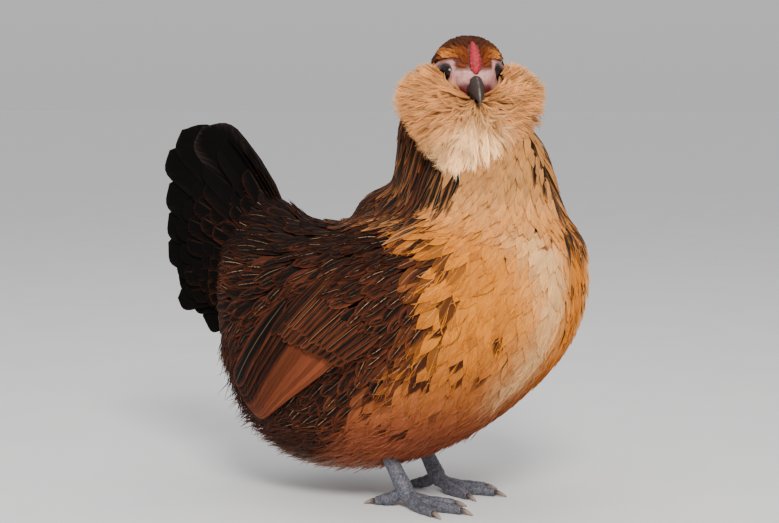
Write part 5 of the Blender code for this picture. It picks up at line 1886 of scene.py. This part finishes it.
def toe_point(ankle, way, toe, reach, t, above=0.0):
    """A place on or above a toe's middle line, and the toe's radius there."""
    lift, wide = station(TOE_LINE, t)
    spot = ankle + way * (0.001 + reach * t)
    rise = HIND_RISE if toe == "hind" else 0.0
    low = TOE_RADIUS * 0.80
    spot.z = low * (0.5 + wide / 2) + lift + rise * (1 - t) * 0.6 + TOE_RADIUS * wide * above
    return spot, TOE_RADIUS * wide


def leg_pieces():
    """Shanks and toes with their rows of scales."""
    for side, word in SIDES:
        hock, ankle = mirrored(HOCK, side), mirrored(ANKLE, side)
        shapes = [tube([hock.lerp(ankle, t) for t, thick in SHANK_LINE],
                       [SHANK_RADIUS * thick for t, thick in SHANK_LINE], 20, 0.0)]
        along = (ankle - hock).normalized()
        front = (-Y_AXIS + along * Y_AXIS.dot(along)).normalized()
        across = along.cross(front)
        spots = []
        for i in range(15):
            t = 0.04 + 0.92 * i / 14
            place = hock.lerp(ankle, t)
            wide = SHANK_RADIUS * station(SHANK_LINE, t)[0]
            for turns, sunk, stretch in (((-0.55, 0.55), 0.90, (1.0, 1.2, 1.0)),
                                         ((-1.5, 1.5, -2.3, 2.3, 3.1), 0.92, (0.8, 0.72, 0.8))):
                for a in turns:
                    out = (front * math.cos(a) + across * math.sin(a)).normalized()
                    spots.append((place + out * (wide * sunk), out, along, stretch))
        for toe, angle, reach in TOES:
            way = toe_way(side, angle)
            line, radii = [], []
            for i in range(15):
                t = i / 14
                spot, radius = toe_point(ankle, way, toe, reach, t)
                line.append(spot)
                radii.append(radius * (1 + 0.07 * math.cos(2 * math.pi * (t * 3.2 - 0.1))))
            shapes.append(tube(line, radii, 18, 0.0))
            count = int(reach / 0.0026)
            for i in range(count):
                t = 0.22 + 0.74 * i / max(count - 1, 1)
                spot = toe_point(ankle, way, toe, reach, t, 0.84)[0]
                spots.append((spot, Z_AXIS, way, (0.72, 1.15, 0.8)))
        scutes = strewn("leg_" + word, spots, "UVSphere", {"Segments": 14, "Rings": 8}, SCUTE_SIZE,
                        "leg_scale")
        points, faces = fused(shapes + [scutes], 0.00042, 2)
        points[:, 2] = np.maximum(points[:, 2], 0.0)
        add_piece("leg_" + word, (points, faces), "leg_scale", "shank", ("leg_" + word,), 70)


def claws_piece():
    """All eight claws."""
    shapes, marks = [], []
    for side in (-1, 1):
        for toe, angle, reach in TOES:
            way = toe_way(side, angle)
            start = mirrored(ANKLE, side) + way * (reach - 0.0012)
            line, radii = [], []
            for i in range(14):
                high, wide = station(CLAW_LINE, i / 13)
                spot = start + way * ((CLAW_LENGTH + 0.0007) * (i / 13))
                spot.z = max(high, wide * 0.8)
                line.append(spot)
                radii.append(wide * (0.86 if i else 0.6))
            points, faces = tube(line, radii, 18, 0.0)
            away = (points - np.array(start)) @ np.array(way) / CLAW_LENGTH
            marks.append(np.stack([np.clip(away, 0, 1), away * 3, points[:, 2] * 200], 1))
            shapes.append((points, faces))
    nodes = ["claw_%s_%s" % (toe, side) for toe, angle, reach in TOES for side in ("left", "right")]
    add_piece("claws", joined(shapes), "claw_horn", "claw", nodes, 60, mark=np.vstack(marks))


# Studio

def studio():
    """Pale floor, soft lights and the camera."""
    corners = [(-40, -40, 0), (40, -40, 0), (40, 40, 0), (-40, 40, 0)]
    floor = linked("studio_floor", new_mesh("studio_floor", corners, [(0, 1, 2), (0, 2, 3)]))
    floor.data.materials.append(finish_named("studio_floor"))
    world = bpy.data.worlds.new("studio")
    bpy.context.scene.world = world
    world.use_nodes = True
    m = Maker(world.node_tree)
    height = m.value("SeparateXYZ", {}, {"Vector": m.value("TexCoord", {}, {}, "Generated")}, "Z")
    stops = ((0.0, (0.58,) * 3), (0.55, (0.80,) * 3))
    sky = m.value("ValToRGB", {"stops": stops}, {"Fac": height}, "Color")
    glow = m.value("Background", {}, {"Color": sky, "Strength": 0.95})
    m.node("OutputWorld", {}, {"Surface": glow})
    for name, place, size, watts, colour in LAMPS:
        light = bpy.data.lights.new(name, "AREA")
        light.size, light.energy, light.color = size, watts, colour
        lamp = linked(name, light)
        lamp.location = place
        ahead = Vector(LAMP_AIM) - Vector(place)
        lamp.rotation_euler = ahead.to_track_quat("-Z", "Y").to_euler()
    camera = bpy.data.cameras.new("camera")
    camera.sensor_width, camera.lens, camera.clip_start = 36.0, 36.0 * PICTURE_WIDTHS, 0.01
    ahead, right = Vector(CAMERA_AHEAD).normalized(), Vector(CAMERA_RIGHT).normalized()
    seat = linked("camera", camera)
    turn = Matrix((right, right.cross(ahead), -ahead)).transposed()
    seat.matrix_world = Matrix.Translation(CAMERA_PLACE) @ turn.to_4x4()
    bpy.context.scene.camera = seat


# Operators

class HEN_OT_skin(bpy.types.Operator):
    """Build the skin of body, neck and head with its eyelids"""
    bl_idname = "hen.skin"
    bl_label = "Skin"

    def execute(self, context):
        skin_piece()
        return {"FINISHED"}


class HEN_OT_coat(bpy.types.Operator):
    """Lay the small feathers of back, breast, flanks and belly"""
    bl_idname = "hen.coat"
    bl_label = "Body feathers"

    def execute(self, context):
        coat_pieces()
        return {"FINISHED"}


class HEN_OT_neck(bpy.types.Operator):
    """Lay the hackle and the small feathers of the head"""
    bl_idname = "hen.neck"
    bl_label = "Hackle and crown"

    def execute(self, context):
        hackle_piece()
        crown_piece()
        return {"FINISHED"}


class HEN_OT_ruff(bpy.types.Operator):
    """Build the beard and both muffs"""
    bl_idname = "hen.ruff"
    bl_label = "Beard and muffs"

    def execute(self, context):
        ruff_pieces()
        return {"FINISHED"}


class HEN_OT_wings(bpy.types.Operator):
    """Build the folded wings"""
    bl_idname = "hen.wings"
    bl_label = "Wings"

    def execute(self, context):
        wing_pieces()
        return {"FINISHED"}


class HEN_OT_tail(bpy.types.Operator):
    """Build the tail and its coverts"""
    bl_idname = "hen.tail"
    bl_label = "Tail"

    def execute(self, context):
        tail_piece()
        return {"FINISHED"}


class HEN_OT_fluff(bpy.types.Operator):
    """Add loose down to belly and thighs"""
    bl_idname = "hen.fluff"
    bl_label = "Belly down"

    def execute(self, context):
        fluff_piece()
        return {"FINISHED"}


class HEN_OT_head(bpy.types.Operator):
    """Build beak, eyes and comb"""
    bl_idname = "hen.head"
    bl_label = "Beak, eyes and comb"

    def execute(self, context):
        beak_pieces()
        eye_pieces()
        comb_piece()
        return {"FINISHED"}


class HEN_OT_legs(bpy.types.Operator):
    """Build legs, toes and claws"""
    bl_idname = "hen.legs"
    bl_label = "Legs and claws"

    def execute(self, context):
        leg_pieces()
        claws_piece()
        return {"FINISHED"}


class HEN_OT_studio(bpy.types.Operator):
    """Set up floor, lights and camera"""
    bl_idname = "hen.studio"
    bl_label = "Studio"

    def execute(self, context):
        studio()
        return {"FINISHED"}


OPERATORS = (HEN_OT_skin, HEN_OT_coat, HEN_OT_neck, HEN_OT_ruff, HEN_OT_wings, HEN_OT_tail,
             HEN_OT_fluff, HEN_OT_head, HEN_OT_legs, HEN_OT_studio)


class HEN_PT_panel(bpy.types.Panel):
    """Lists the hen's sizes, colours and pieces"""
    bl_label = "Bearded bantam hen"
    bl_idname = "HEN_PT_panel"
    bl_space_type = "VIEW_3D"
    bl_region_type = "UI"
    bl_category = "Hen"

    def draw(self, context):
        for operator in OPERATORS:
            self.layout.operator(operator.bl_idname)
        for group in (context.scene.hen_sizes, context.scene.hen_colours):
            box = self.layout.box()
            for key in group.bl_rna.properties.keys():
                if key not in ("rna_type", "name"):
                    box.prop(group, key)


CLASSES = (HenSizes, HenColours, *OPERATORS, HEN_PT_panel)


def register():
    for kind in CLASSES:
        bpy.utils.register_class(kind)
    bpy.types.Scene.hen_sizes = PointerProperty(type=HenSizes)
    bpy.types.Scene.hen_colours = PointerProperty(type=HenColours)


def unregister():
    del bpy.types.Scene.hen_colours
    del bpy.types.Scene.hen_sizes
    for kind in reversed(CLASSES):
        bpy.utils.unregister_class(kind)


def main():
    register()
    for operator in OPERATORS:
        group, name = operator.bl_idname.split(".")
        getattr(getattr(bpy.ops, group), name)()


if __name__ == "__main__":
    main()
